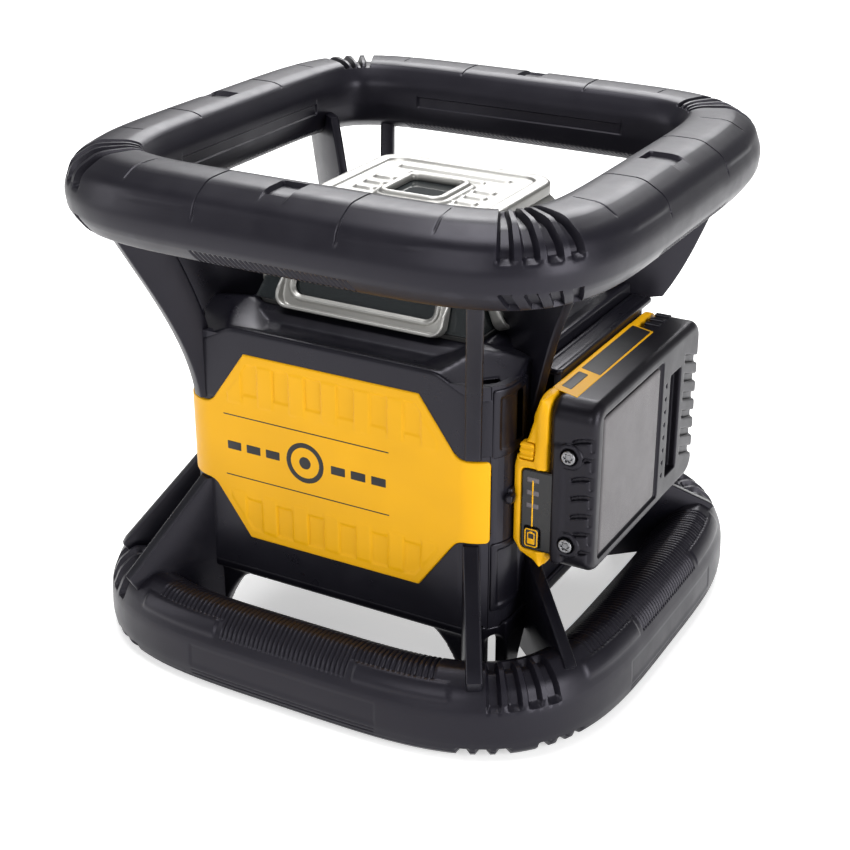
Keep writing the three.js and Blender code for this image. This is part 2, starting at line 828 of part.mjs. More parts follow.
// The block pokes through the body wall into the pack's channel, with five contact blades.
function terminalBlock() {
  const base = block([76.8, 86], [-7, 43], [93, 125]);
  const blades = [97, 103, 109, 115, 121].map((z) => block([85, 91], [2, 30], [z - 0.5, z + 0.5]));
  return join(base, ...blades);
}

piece("terminal_block", terminalBlock(), looks.key);

// ---------- Battery pack ----------

const packMiddle = { y: (pack.front + pack.back) / 2, z: (pack.bottom + pack.top) / 2 };

// A rounded rectangle in Y and Z, as the pack is seen from its side, extruded along X.
function packPrism(shrink, radius, x0, x1) {
  const halfY = (pack.back - pack.front) / 2 - shrink;
  const halfZ = (pack.top - pack.bottom) / 2 - shrink;
  const shape = roundedRect(halfY, halfZ, radius);
  const depth = x1 - x0;
  const flat = extruded(shape, depth, 4).rotateX(Math.PI / 2).rotateZ(Math.PI / 2);
  return solid(flat.translate(x0, packMiddle.y, packMiddle.z));
}

const gaugeX = [84.6, 95.6];
const gaugeKeyX = [86.4, 93.6];
const gaugeKeyZ = [77.2, 86.8]; // the hole that the gauge's key moves in

// The yellow half has grooves for the dock's lips, a channel for the terminals, and a nose at the
// front end that carries the gauge and the release button.
function batteryTopHousing() {
  const flange = packPrism(0, 7, 91.2, pack.split - air);
  const tongue = block([pack.inner, 92], [-58, pack.back - 1], [pack.bottom + 6, pack.top - 6]);
  const guide = [pack.inner, dock.lip - 3.7];
  const guides = [
    block(guide, [-40, pack.back - 1], [pack.top - 6.5, pack.top - 0.5]),
    block(guide, [-40, pack.back - 1], [pack.bottom + 0.5, pack.bottom + 6.5]),
  ];
  const nose = prismY(
    softOutline(
      [
        [80.6, 75],
        [84, 73],
        [92, 73],
        [92, 145],
        [89, 138],
        [86, 127],
        [80.6, 117],
      ],
      1.5,
    ),
    pack.front + 0.5,
    -58,
  );
  const channel = block([pack.inner - 1, 91.8], [-12, pack.back + 1], [92, 126]);
  const gaugeSeat = block([gaugeX[0] - air, pack.split + 1], [-80, pack.front + 2.2], [75.5, 114]);
  const buttonBore = block(gaugeKeyX, [-80, pack.front + 6], gaugeKeyZ);
  const releaseSeat = block([82.8, 90.2], [-80, pack.front + 9], [117.4, 125.6]);
  return cut(join(flange, tongue, ...guides, nose), channel, gaugeSeat, buttonBore, releaseSeat);
}

piece("battery_top_housing", batteryTopHousing(), looks.yellow);

const packScrewX = 106;
const packScrewHeights = [82.5, 123.5];

function batteryBaseShell() {
  const outside = join(
    packPrism(0, 8, pack.split, pack.outer - 3),
    packPrism(2.5, 7, pack.split + 1, pack.outer),
  );
  const inside = packPrism(4.5, 4, pack.split - 1, pack.outer - 2.5);
  const screwHoles = packScrewHeights.map((z) =>
    rod(2.2, "y", pack.front - 2, pack.front + 9, [packScrewX, z], 12),
  );
  return cut(outside, inside, ...screwHoles);
}

piece("battery_base_shell", batteryBaseShell(), looks.black);

packScrewHeights.forEach((z, i) => {
  const at = [packScrewX, z];
  const screw = join(
    rod(3.6, "y", pack.front - 2.2, pack.front - air, at, 12),
    rod(1.9, "y", pack.front - 1, pack.front + 8, at, 10),
  );
  const socket = rod(1.5, "y", pack.front - 5, pack.front - 1.2, at, 6);
  piece("battery_screw_" + (i ? "upper" : "lower"), cut(screw, socket), looks.alloy);
});

// Five cells stand side by side, held at both ends.
function batteryCells() {
  const x = pack.split + 9.6;
  const cells = [0, 1, 2, 3, 4].map((i) =>
    rod(9, "z", packMiddle.z - 32.5, packMiddle.z + 32.5, [x, packMiddle.y + (i - 2) * 19.2], 12),
  );
  const straps = [-1, 1].map((end) => {
    const z = packMiddle.z + end * 32;
    return block([x - 4, x + 4], [packMiddle.y - 44, packMiddle.y + 44], [z - 1, z + 1]);
  });
  return join(...straps, ...cells);
}

piece("battery_cells", batteryCells(), looks.cell);

const gaugeFace = pack.front - 0.4;
piece(
  "charge_gauge",
  cut(
    block(gaugeX, [gaugeFace, pack.front + 1.8], [75.9, 113.6]),
    block(gaugeKeyX, [-80, -60], gaugeKeyZ),
  ),
  looks.seal,
);
piece(
  "gauge_button",
  block(
    [gaugeKeyX[0] + air, gaugeKeyX[1] - air],
    [gaugeFace - 0.6, pack.front + 4],
    [gaugeKeyZ[0] + air, gaugeKeyZ[1] - air],
  ),
  looks.key,
);
piece(
  "release_button",
  block([83.2, 89.8], [pack.front - 1.2, pack.front + 4.5], [117.8, 125.2]),
  looks.yellow,
);

export default parts;
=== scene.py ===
"""The looks of a rotating laser level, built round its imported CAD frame.

Shapes are worked out in millimetres in the frame's own axes, and become metres when a mesh is made:
+Z is up, the front faces -Y, and the battery is on +X.
"""

import json
import math
from collections import namedtuple

import bpy
import numpy as np
from mathutils import Matrix, Vector


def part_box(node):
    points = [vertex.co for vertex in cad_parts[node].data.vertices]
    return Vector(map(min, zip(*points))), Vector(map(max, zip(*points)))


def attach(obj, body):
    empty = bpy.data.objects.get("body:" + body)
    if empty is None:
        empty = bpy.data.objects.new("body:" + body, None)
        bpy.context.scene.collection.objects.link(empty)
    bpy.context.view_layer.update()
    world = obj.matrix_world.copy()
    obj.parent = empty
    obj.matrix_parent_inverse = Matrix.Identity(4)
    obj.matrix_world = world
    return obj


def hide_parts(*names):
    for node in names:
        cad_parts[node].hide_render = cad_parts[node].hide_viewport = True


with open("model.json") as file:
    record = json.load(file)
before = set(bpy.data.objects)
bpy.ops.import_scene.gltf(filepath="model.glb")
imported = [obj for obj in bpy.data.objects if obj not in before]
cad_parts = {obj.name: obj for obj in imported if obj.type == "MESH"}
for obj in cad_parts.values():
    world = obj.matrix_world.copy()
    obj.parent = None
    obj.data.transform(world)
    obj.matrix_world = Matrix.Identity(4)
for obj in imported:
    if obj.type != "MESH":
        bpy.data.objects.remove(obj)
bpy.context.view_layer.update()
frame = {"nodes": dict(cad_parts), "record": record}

MM = 0.001


def span(node):
    """The lowest and highest corner of a CAD node, in millimetres."""
    low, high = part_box(node)
    return np.array(low) / MM, np.array(high) / MM


# ---------- Sizes taken from the frame ----------

shell_low, shell_high = span("rear_shell")
plate_low, plate_high = span("cage_top_plate")
pack_low, pack_high = span("battery_base_shell")
top_low, top_high = span("battery_top_housing")
gauge_low, gauge_high = span("charge_gauge")
key_low, key_high = span("gauge_button")
panel_low, panel_high = span("front_panel")

BODY_X, BODY_Y = shell_high[:2]
BODY_BOTTOM = shell_low[2]
BODY_CORNER = 17  # the radius of the body's upright corners
SILL = 59.0  # how far out the cage's leaning sides stand
FOOT = 159.0  # the height they stand at
CURB = 158.2  # the deck's height beside them


# ---------- Materials ----------

def new_material(name):
    """A material with its node tree, its shader and a node of texture coordinates."""
    material = bpy.data.materials.new(name)
    material.use_nodes = True
    tree = material.node_tree
    return material, tree, tree.nodes["Principled BSDF"], tree.nodes.new("ShaderNodeTexCoord")


def noise(tree, coordinates, scale, detail=2.0, stretch=(1, 1, 1)):
    """A noise texture in object space, with its features about 1/scale metres across."""
    mapping = tree.nodes.new("ShaderNodeMapping")
    mapping.inputs["Scale"].default_value = [s * scale for s in stretch]
    tree.links.new(coordinates.outputs["Object"], mapping.inputs["Vector"])
    texture = tree.nodes.new("ShaderNodeTexNoise")
    texture.inputs["Scale"].default_value = 1.0
    texture.inputs["Detail"].default_value = detail
    tree.links.new(mapping.outputs["Vector"], texture.inputs["Vector"])
    return texture.outputs["Fac"]


def spread(tree, value, low, high, start=0.3, end=0.7):
    """Maps a value from start..end to low..high."""
    node = tree.nodes.new("ShaderNodeMapRange")
    node.inputs["From Min"].default_value = start
    node.inputs["From Max"].default_value = end
    node.inputs["To Min"].default_value = low
    node.inputs["To Max"].default_value = high
    tree.links.new(value, node.inputs["Value"])
    return node.outputs["Result"]


def mixed(tree, factor, first, second):
    """A colour between a colour or socket and a second colour."""
    node = tree.nodes.new("ShaderNodeMix")
    node.data_type = "RGBA"
    if isinstance(first, bpy.types.NodeSocket):
        tree.links.new(first, node.inputs["A"])
    else:
        node.inputs["A"].default_value = (*first, 1)
    node.inputs["B"].default_value = (*second, 1)
    tree.links.new(factor, node.inputs["Factor"])
    return node.outputs["Result"]


EVEN = (1, 1, 1)
WHITE = (1, 1, 1)

# grain is the size of a surface's features in millimetres, stretch is how closely they repeat along
# each axis, and shine and cast are the strength and colour of reflections.
Finish = namedtuple(
    "Finish", "roughness metallic grain bump stretch shine cast", defaults=(0, 0.4, 0.1, EVEN, 0.5, WHITE)
)


def finish_material(name, colour, finish, worn=None):
    """A material with a fine grain, slow changes of colour and gloss, and paler edges if it is worn."""
    material, tree, shader, coordinates = new_material(name)
    shader.inputs["Metallic"].default_value = finish.metallic
    shader.inputs["Specular IOR Level"].default_value = finish.shine
    shader.inputs["Specular Tint"].default_value = (*finish.cast, 1)
    cloudy = noise(tree, coordinates, 28)
    tint = mixed(tree, spread(tree, cloudy, 0, 1), [c * 0.96 for c in colour], [c * 1.04 for c in colour])
    if worn:
        geometry = tree.nodes.new("ShaderNodeNewGeometry")
        edge = spread(tree, geometry.outputs["Pointiness"], 0, 0.6, 0.52, 0.6)
        tint = mixed(tree, edge, tint, worn)
    tree.links.new(tint, shader.inputs["Base Color"])
    smudges = noise(tree, coordinates, 90, 3)
    gloss = spread(tree, smudges, finish.roughness - 0.03, finish.roughness + 0.05)
    tree.links.new(gloss, shader.inputs["Roughness"])
    grain = noise(tree, coordinates, 1 / (finish.grain * MM), 2, finish.stretch)
    bump = tree.nodes.new("ShaderNodeBump")
    bump.inputs["Strength"].default_value = finish.bump
    bump.inputs["Distance"].default_value = 0.2 * MM
    tree.links.new(grain, bump.inputs["Height"])
    tree.links.new(bump.outputs["Normal"], shader.inputs["Normal"])
    return material


def glass_material(name, colour, roughness, through):
    material, tree, shader, coordinates = new_material(name)
    smudges = noise(tree, coordinates, 60, 4)
    tree.links.new(spread(tree, smudges, roughness, roughness + 0.06), shader.inputs["Roughness"])
    shader.inputs["Base Color"].default_value = (*colour, 1)
    shader.inputs["Transmission Weight"].default_value = through
    shader.inputs["IOR"].default_value = 1.5
    return material


def board_material(name):
    """Green solder mask with paler tracks."""
    material, tree, shader, coordinates = new_material(name)
    cells = tree.nodes.new("ShaderNodeTexVoronoi")
    cells.distance = "MANHATTAN"
    cells.inputs["Scale"].default_value = 160
    tree.links.new(coordinates.outputs["Object"], cells.inputs["Vector"])
    tracks = spread(tree, cells.outputs["Distance"], 1, 0, 0.05, 0.2)
    tree.links.new(mixed(tree, tracks, (0.01, 0.09, 0.035), (0.03, 0.2, 0.08)), shader.inputs["Base Color"])
    tree.links.new(spread(tree, cells.outputs["Distance"], 0.3, 0.5), shader.inputs["Roughness"])
    return material


BLACK = (0.004, 0.0038, 0.0062)
RUBBER = (0.0065, 0.006, 0.0092)
COOL = (0.9, 0.87, 1.0)  # black plastics shine a little blue
DARK_GREY = (0.0042, 0.0038, 0.0055)
PALE_EDGE = (0.016, 0.0155, 0.021)
YELLOW = (0.69, 0.345, 0.0004)
PRINT = Finish(0.4, grain=0.3, bump=0.04)

FINISHES = {
    "bumper_rubber": (RUBBER, Finish(0.36, grain=0.5, shine=0.28, cast=COOL), PALE_EDGE),
    "black_plastic": (BLACK, Finish(0.3, grain=0.45, bump=0.04, shine=0.3, cast=COOL), PALE_EDGE),
    "yellow_plastic": (YELLOW, Finish(0.42, bump=0.05, shine=0.2), (0.95, 0.5, 0.01)),
    "sheet_metal": (
        (0.35, 0.345, 0.33), Finish(0.38, metallic=0.7, grain=0.35, bump=0.08), (0.55, 0.55, 0.54)
    ),
    "seal_rubber": ((0.012, 0.012, 0.012), Finish(0.6, grain=0.5, bump=0.15)),
    "alloy": ((0.5, 0.51, 0.53), Finish(0.33, metallic=0.95, grain=0.2, bump=0.08), (0.7, 0.7, 0.7)),
    "brass": ((0.62, 0.43, 0.17), Finish(0.3, metallic=1, grain=0.2, bump=0.08), (0.8, 0.6, 0.3)),
    "screw_steel": ((0.2, 0.2, 0.21), Finish(0.32, metallic=1, grain=0.2), (0.4, 0.4, 0.4)),
    "cell_wrap": ((0.06, 0.22, 0.34), Finish(0.35, metallic=0.2, bump=0.05)),
    "battery_black": (DARK_GREY, Finish(0.36, shine=0.25, cast=COOL), PALE_EDGE),
    "gauge_black": ((0.008, 0.008, 0.009), Finish(0.28, grain=0.5, bump=0.03, shine=0.4)),
    "key_plastic": ((0.05, 0.05, 0.056), Finish(0.5, grain=0.35), PALE_EDGE),
    "brushed_grey": (
        (0.085, 0.079, 0.083),
        Finish(0.42, metallic=0.2, grain=0.12, bump=0.3, stretch=(1, 1, 0.02), shine=0.35),
    ),
    "ink_black": ((0.01, 0.01, 0.012), PRINT._replace(shine=0.3)),
    "ink_grey": ((0.1, 0.09, 0.1), PRINT),
    "ink_white": ((0.7, 0.7, 0.7), PRINT),
}

looks = {name: finish_material(name, *recipe) for name, recipe in FINISHES.items()}
looks["window_glass"] = glass_material("window_glass", (0.05, 0.058, 0.062), 0.03, 0.6)
looks["optic_glass"] = glass_material("optic_glass", (0.8, 0.92, 0.95), 0.01, 0.95)
looks["circuit_board"] = board_material("circuit_board")

slot_of = {part["node"]: part["material_slot"] for part in frame["record"]["subparts"]}
for node, cad in frame["nodes"].items():
    cad.data.materials.clear()
    cad.data.materials.append(looks[slot_of[node]])


# ---------- Making pieces ----------

def add_object(name, data):
    thing = bpy.data.objects.new(name, data)
    bpy.context.scene.collection.objects.link(thing)
    return thing


def volume(points, quads):
    """Six times the signed volume that quads enclose."""
    a, b, c, d = (points[quads[:, i]] for i in range(4))
    return np.einsum("ij,ij->", a, np.cross(b, c)) + np.einsum("ij,ij->", a, np.cross(c, d))


def make_piece(name, points, faces, slot, nodes=(), body="housing", look=None, keep=1.0, edge=None):
    """A mesh piece from points in millimetres. keep is the share of faces left after thinning."""
    mesh = bpy.data.meshes.new(name)
    if isinstance(faces, np.ndarray):
        if volume(points, faces) < 0:
            faces = faces[:, ::-1]
        faces = faces.tolist()
    mesh.from_pydata((np.asarray(points) * MM).tolist(), [], faces)
    mesh.validate()
    piece = add_object(name, mesh)
    if keep < 1:
        thin = piece.modifiers.new("thin", "DECIMATE")
        thin.ratio = keep
        settle(piece)
    dress(piece, slot, nodes, body, look, edge)


def settle(piece):
    """Applies a piece's modifiers to its mesh."""
    graph = bpy.context.evaluated_depsgraph_get()
    result = bpy.data.meshes.new_from_object(piece.evaluated_get(graph))
    piece.modifiers.clear()
    piece.data = result


def dress(piece, slot, nodes=(), body="housing", look=None, edge=None):
    """Gives a piece its material and shading, hangs it on its body's empty, and hides the CAD nodes it stands
    in for.

    look names the material where it isn't the slot's own, and edge is the angle in degrees of a sharp edge.
    """
    piece.data.materials.clear()
    piece.data.materials.append(looks[look or slot])
    piece.data.shade_smooth()
    if edge:
        piece.data.set_sharp_from_angle(angle=math.radians(edge))
    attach(piece, body)
    if nodes:
        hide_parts(*nodes)


# ---------- Fields: distances in millimetres, below zero inside ----------

def between(value, low, high):
    return np.maximum(low - value, value - high)


def both(*fields):
    return np.maximum.reduce(np.broadcast_arrays(*fields))


def either(*fields):
    return np.minimum.reduce(np.broadcast_arrays(*fields))


def less(field, *cuts):
    return both(field, *[-cut for cut in cuts])


def soft_either(a, b, k):
    """Two shapes joined with a fillet about k across."""
    h = np.maximum(k - np.abs(a - b), 0) / k
    return np.minimum(a, b) - h * h * k / 4


def soft_less(a, b, k):
    return -soft_either(-a, b, k)


def round_both(a, b, r):
    """Where two shapes overlap, with the edge between them rounded to radius r."""
    u, v = a + r, b + r
    return np.hypot(np.maximum(u, 0), np.maximum(v, 0)) + np.minimum(np.maximum(u, v), 0) - r


def rounded_rect(u, v, half_u, half_v, r):
    return round_both(np.abs(u) - half_u, np.abs(v) - half_v, r)


def capsule(u, v, start, end, radius):
    """A thick line from start to end with round ends."""
    du, dv = end[0] - start[0], end[1] - start[1]
    t = np.clip(((u - start[0]) * du + (v - start[1]) * dv) / (du * du + dv * dv), 0, 1)
    return np.hypot(u - start[0] - t * du, v - start[1] - t * dv) - radius


def smooth_curve(value, places, results):
    """A polynomial through a few points, held level beyond them."""
    fit = np.polyfit(places, results, len(places) - 1)
    return np.polyval(fit, np.clip(value, min(places), max(places)))


CORNERS = [(i, j, k) for i in (0, 1) for j in (0, 1) for k in (0, 1)]


def net(field, low, step):
    """Points and quads on the zero surface of a sampled field."""
    inside = field < 0
    sizes = [n - 1 for n in field.shape]
    count = np.zeros(sizes, np.int8)
    for i, j, k in CORNERS:
        count += inside[i : sizes[0] + i, j : sizes[1] + j, k : sizes[2] + k]
    cells = np.argwhere((count > 0) & (count < 8))
    values = [field[tuple((cells + corner).T)] for corner in CORNERS]
    total = np.zeros((len(cells), 3))
    hits = np.zeros(len(cells))
    for a, start in enumerate(CORNERS):
        for b in range(a + 1, 8):
            way = np.subtract(CORNERS[b], start)
            if np.abs(way).sum() != 1:
                continue
            crossed = (values[a] < 0) != (values[b] < 0)
            gap = np.where(crossed, values[a] - values[b], 1)
            share = np.where(crossed, values[a] / gap, 0)
            total += (np.array(start) + share[:, None] * way) * crossed[:, None]
            hits += crossed
    points = np.array(low) + step * (cells + total / hits[:, None])
    index = np.full(field.shape, -1)
    index[tuple(cells.T)] = np.arange(len(cells))
    quads = []
    for axis in range(3):
        u, v = np.eye(3, dtype=int)[[(axis + 1) % 3, (axis + 2) % 3]]
        ahead = np.roll(inside, -1, axis)
        changed = inside != ahead
        changed[tuple(slice(-1, None) if a == axis else slice(None) for a in range(3))] = False
        for leaving in (True, False):
            at = np.argwhere(changed & (inside == leaving))
            at = at[(at[:, (axis + 1) % 3] > 0) & (at[:, (axis + 2) % 3] > 0)]
            around = [at, at - u, at - u - v, at - v]
            quad = np.stack([index[tuple(p.T)] for p in around], 1)
            quads.append(quad if leaving else quad[:, ::-1])
    quads = np.concatenate(quads)
    return points, quads[(quads >= 0).all(1)]


def carve(low, high, step, field):
    """The surface of a field of x, y and z, sampled in a box with one step to spare round it."""
    axes = [np.arange(a - step, b + 2 * step, step) for a, b in zip(low, high)]
    sampled = field(*np.ix_(*axes)).astype(np.float32)
    return net(sampled, [axis[0] for axis in axes], step)


def carved(name, low, high, step, field, slot, nodes=(), body="housing", look=None, keep=0.5, move=None):
    """A piece carved from a field. move takes the carved points and returns them in place."""
    points, quads = carve(low, high, step, field)
    if move:
        points = move(points)
    make_piece(name, points, quads, slot, nodes, body, look, keep)


# ---------- Bumper rings ----------

# A groove from t0 to t1 along a side and from v0 to v1 round the section, with ramps at its edges.
Relief = namedtuple("Relief", "t0 t1 v0 v1 depth ramp v_ramp", defaults=(0.4, 0.06))

EASING = (-0.24, -0.12, 0, 0.12, 0.24)  # how far to each side a section's corner is averaged


def grid_lines(wanted, low, high, plain):
    """Sorted grid lines, without any that nearly repeat."""
    kept = []
    for value in sorted([w for w in wanted if low <= w < high] + list(plain)):
        if not kept or value - kept[-1] > 0.02:
            kept.append(value)
    return np.array(kept)


class Bumper:
    """A bumper's centre line, measured along one side from its middle, and the outline of its section."""

    def __init__(self, node, power, outline):
        low, high = span(node)
        self.outline = np.array(outline)
        self.middle = (low[2] + high[2]) / 2
        half = high[0] - self.outline[:, 0].max()
        angle = np.linspace(-math.pi, 0, 4001)
        unit = np.stack([np.cos(angle), np.sin(angle)], 1)
        bent = np.sign(unit) * np.abs(unit) ** (2 / power)
        self.line = bent * half
        normal = np.sign(bent) * np.abs(bent) ** (power - 1)
        self.normal = normal / np.linalg.norm(normal, axis=1)[:, None]
        steps = np.linalg.norm(np.diff(self.line, axis=0), axis=1)
        self.along = np.concatenate([[0], np.cumsum(steps)])
        self.along -= self.along[-1] / 2
        self.side = self.along[-1]  # the line is two sides long and its middle is at 0

    def section(self, v):
        """Points of the section at v, counted in corners from the first, with every corner eased."""
        closed = np.vstack([self.outline, self.outline[:1]])
        total = 0
        for shift in EASING:
            place = np.mod(v + shift, len(self.outline))
            whole = np.floor(place).astype(int) % len(self.outline)
            part = (place - np.floor(place))[..., None]
            total = total + closed[whole] * (1 - part) + closed[whole + 1] * part
        return total / len(EASING)

    def place(self, t, out, up):
        """Where a point of the front side lies."""
        x, y = (np.interp(t, self.along, self.line[:, i]) for i in (0, 1))
        nx, ny = (np.interp(t, self.along, self.normal[:, i]) for i in (0, 1))
        return np.stack([x + nx * out, y + ny * out, self.middle + up], -1)

    def sweep(self, name, slot, node, reliefs, slants=()):
        """The whole bumper, with each relief cut in, or raised where its depth is below zero.

        Each of the slants, given as v0, v1 and reach, draws its stretch of the section along the side.
        """
        corners = len(self.outline)
        end = self.side / 2
        t_lines = [t for r in reliefs for t in (r.t0 - r.ramp, r.t0, r.t1, r.t1 + r.ramp)]
        v_lines = [v % corners for r in reliefs for v in (r.v0 - r.v_ramp, r.v0, r.v1, r.v1 + r.v_ramp)]
        bend_length, bend_steps = 62, 112
        evenly = np.linspace(-end, end, bend_steps + 1)[:-1]
        bends = [t for t in evenly if abs(t) > end - bend_length or abs(t) < 1]
        columns = grid_lines(t_lines, -end, end, bends)
        plain_rows = [k + part for k in range(corners) for part in (0, 0.2, 0.5, 0.8)]
        rows = grid_lines(v_lines, 0, corners, plain_rows)
        t, v = np.meshgrid(columns, rows, indexing="ij")
        depth = np.zeros_like(t)
        for r in reliefs:
            for turn in (-corners, 0, corners):
                along = np.clip(np.minimum(t - r.t0, r.t1 - t) / r.ramp + 1, 0, 1)
                across = np.clip(np.minimum(v + turn - r.v0, r.v1 - v - turn) / r.v_ramp + 1, 0, 1)
                depth += r.depth * along * across
        point = self.section(v)
        tangent = self.section(v + 0.02) - self.section(v - 0.02)
        tangent /= np.linalg.norm(tangent, axis=-1)[..., None]
        out = point[..., 0] + tangent[..., 1] * depth
        up = point[..., 1] - tangent[..., 0] * depth
        lean = sum(reach * np.interp(v, (v0, v1), (0, 1), 0, 0) for v0, v1, reach in slants)
        side = self.place(t + lean, out, up).reshape(-1, 3)
        turned = [side @ np.array(Matrix.Rotation(k * math.pi / 2, 3, "Z")).T for k in range(4)]
        points = np.vstack(turned)
        count = 4 * len(columns)
        i, j = np.meshgrid(np.arange(count), np.arange(len(rows)), indexing="ij")
        ahead, above = (i + 1) % count, (j + 1) % len(rows)
        wide = len(rows)
        quads = np.stack([i * wide + j, ahead * wide + j, ahead * wide + above, i * wide + above], -1)
        make_piece(name, points, quads.reshape(-1, 4), slot, [node], edge=50)


def ribs(low, high, pitch, v0, v1, depth, v_ramp=0.08):
    """A row of fine grooves across a bumper."""
    count = int((high - low) / pitch)
    start = (low + high - (count - 1) * pitch) / 2
    return [
        Relief(t, t, v0, v1, depth, 0.36 * pitch, v_ramp)
        for t in (start + i * pitch for i in range(count))
    ]


def at_corners(bumper, offsets, width, v0, v1, depth, ramp=1.0, v_ramp=0.12):
    """The same groove at each offset from a corner, on both sides of it."""
    end = bumper.side / 2
    places = [sign * (end - offset) for offset in offsets for sign in (-1, 1)]
    return [Relief(t - width / 2, t + width / 2, v0, v1, depth, ramp, v_ramp) for t in places]


def upper_bumper():
    """Flat on top with a broad outer shoulder: deep grips at the corners, ribs along the lower edges."""
    outline = [
        (-17.0, -13.5), (-19.25, -5), (-19.25, 6.5), (-14, 14.4), (-9, 15.75), (5, 15.75),
        (15.5, 9.5), (19.25, -1), (18.4, -9), (13, -16.8), (4, -19), (-9, -18.5),
    ]
    bumper = Bumper("upper_ring", 5.5, outline)
    grips = at_corners(bumper, (3.1, 9.5), 2.4, 3.1, 6.4, 3.2, 1.1, 0.25)
    pockets = at_corners(bumper, (3.1, 9.5), 2.6, 8.0, 8.95, 2.2, 0.5, 0.1)
    seams = [Relief(t - 0.3, t + 0.3, 3.0, 6.6, 0.4, 0.3) for t in (-33, 33)]
    far_seams = [Relief(t - 0.2, t + 0.2, 4.1, 5.6, 0.3, 0.25) for t in (-70, 70)]
    notch = [Relief(-5, 5, 4.1, 5.15, 1.9, 1.2, 0.06)]
    outer_ribs = ribs(-37.3, 37.3, 2.4, 8.3, 9.6, 1.0)
    inner_ribs = ribs(-64, 64, 2.4, -0.9, -0.08, 1.0)
    step = [Relief(sign * 50 - 12, sign * 50 + 12, 6.25, 6.35, -0.25, 7, 0.12) for sign in (-1, 1)]
    inner_step = [Relief(-56, 56, 1.1, 1.5, 0.7, 1.0, 0.05)]
    reliefs = grips + pockets + seams + far_seams + notch + outer_ribs + inner_ribs + inner_step + step
    slants = [(8, 9, 3.0), (11, 12, 3.0)]
    bumper.sweep("upper_bumper", "bumper_rubber", "upper_ring", reliefs, slants)


def lower_bumper():
    """A ribbed inner slope and crown, a smooth outer side, and lugs with a tread at the corners."""
    outline = [
        (-15.5, -18.8), (-18.5, -13), (-18.5, 3), (-6.5, 15.2), (0, 18.4), (6.5, 18.8),
        (14, 12.5), (18, 3), (18.5, -9), (17.6, -15), (14, -18.8),
    ]
    bumper = Bumper("lower_ring", 4.1, outline)
    crown_ribs = ribs(-70, 70, 2.3, 2.1, 5.55, 0.75, 0.06)
    side_ribs = ribs(-33, 33, 2.3, 5.62, 6.4, 0.75, 0.06)
    rim = [Relief(a, b, 5.7, 6.35, -0.45, 1.2, 0.15) for a, b in ((-74, -36), (36, 74))]
    lugs = at_corners(bumper, (3.3, 9.9), 2.8, 4.2, 6.6, 2.8, 1.1, 0.25)
    tread = at_corners(bumper, (6.6, 13.2, 19.8), 2.2, 8.8, 10.2, 2.2, 1.4, 0.2)
    side_panel = [Relief(-46, 46, 7.15, 8.0, 0.3, 1.2, 0.08)]
    side_lines = [Relief(-46, 46, v, v + 0.08, 0.3, 0.8, 0.05) for v in (8.3, 8.62)]
    hem = [Relief(-90, 90, 9.0, 9.06, 0.4, 0.3, 0.05)]
    pads = [Relief(a, b, 9.9, 11.0, 1.4, 1.0, 0.1) for a, b in ((-60, -38), (38, 60))]
    reliefs = crown_ribs + side_ribs + rim + lugs + tread + side_panel + side_lines + hem + pads
    bumper.sweep("lower_bumper", "bumper_rubber", "lower_ring", reliefs)


upper_bumper()
lower_bumper()


# ---------- Deck with its posts, and base tray with its legs ----------

def body_field(x, y, grow=0.0):
    return rounded_rect(x, y, BODY_X + grow, BODY_Y + grow, BODY_CORNER + grow)


# A flat rib out from base, at an angle of lean to the face's normal. outs and ins are how far out its
# two edges lie at each of the heights.
Blade = namedtuple("Blade", "base lean face thick heights outs ins curve", defaults=(smooth_curve,))


def blade(name, corner, shape):
    """A rib at a corner, lofted from rounded sections between its two edges."""
    sx, sy = corner
    ax, ay = math.sin(shape.lean), math.cos(shape.lean)
    if shape.face == "side":
        ax, ay = ay, ax
    levels = np.linspace(shape.heights[0], shape.heights[-1], 29)
    turn = np.linspace(0, 2 * math.pi, 24, endpoint=False)
    radius = 1.3
    rows = []
    for z in levels:
        outer = shape.curve(z, shape.heights, shape.outs)
        inner = shape.curve(z, shape.heights, shape.ins)
        half_out = (outer - inner) / 2 - radius
        half_across = shape.thick / 2 - radius
        out = (outer + inner) / 2 + np.sign(np.cos(turn)) * half_out + radius * np.cos(turn)
        across = np.sign(np.sin(turn + 0.01)) * half_across + radius * np.sin(turn)
        x = shape.base[0] + out * ax + across * ay
        y = shape.base[1] + out * ay - across * ax
        rows.append(np.stack([sx * x, sy * y, np.full(len(turn), z)], 1))
    faces = loft_faces(len(rows), len(turn))
    mirrored = sx * sy * (1 if shape.face == "front" else -1)
    if mirrored * (shape.heights[-1] - shape.heights[0]) > 0:
        faces = [face[::-1] for face in faces]
    make_piece(name, np.vstack(rows), faces, "black_plastic", edge=40)


def loft_faces(rows, count):
    """Quads between rows of count points, and a face over each end."""
    faces = []
    for row in range(rows - 1):
        for k in range(count):
            near, far = row * count, (row + 1) * count
            ahead = (k + 1) % count
            faces.append([near + k, near + ahead, far + ahead, far + k])
    last = (rows - 1) * count
    return faces + [list(range(count))[::-1], [last + k for k in range(count)]]


def straight(z, heights, values):
    """Straight lines through a few points, whichever way the heights run."""
    return np.interp(-z, [-height for height in heights], values)


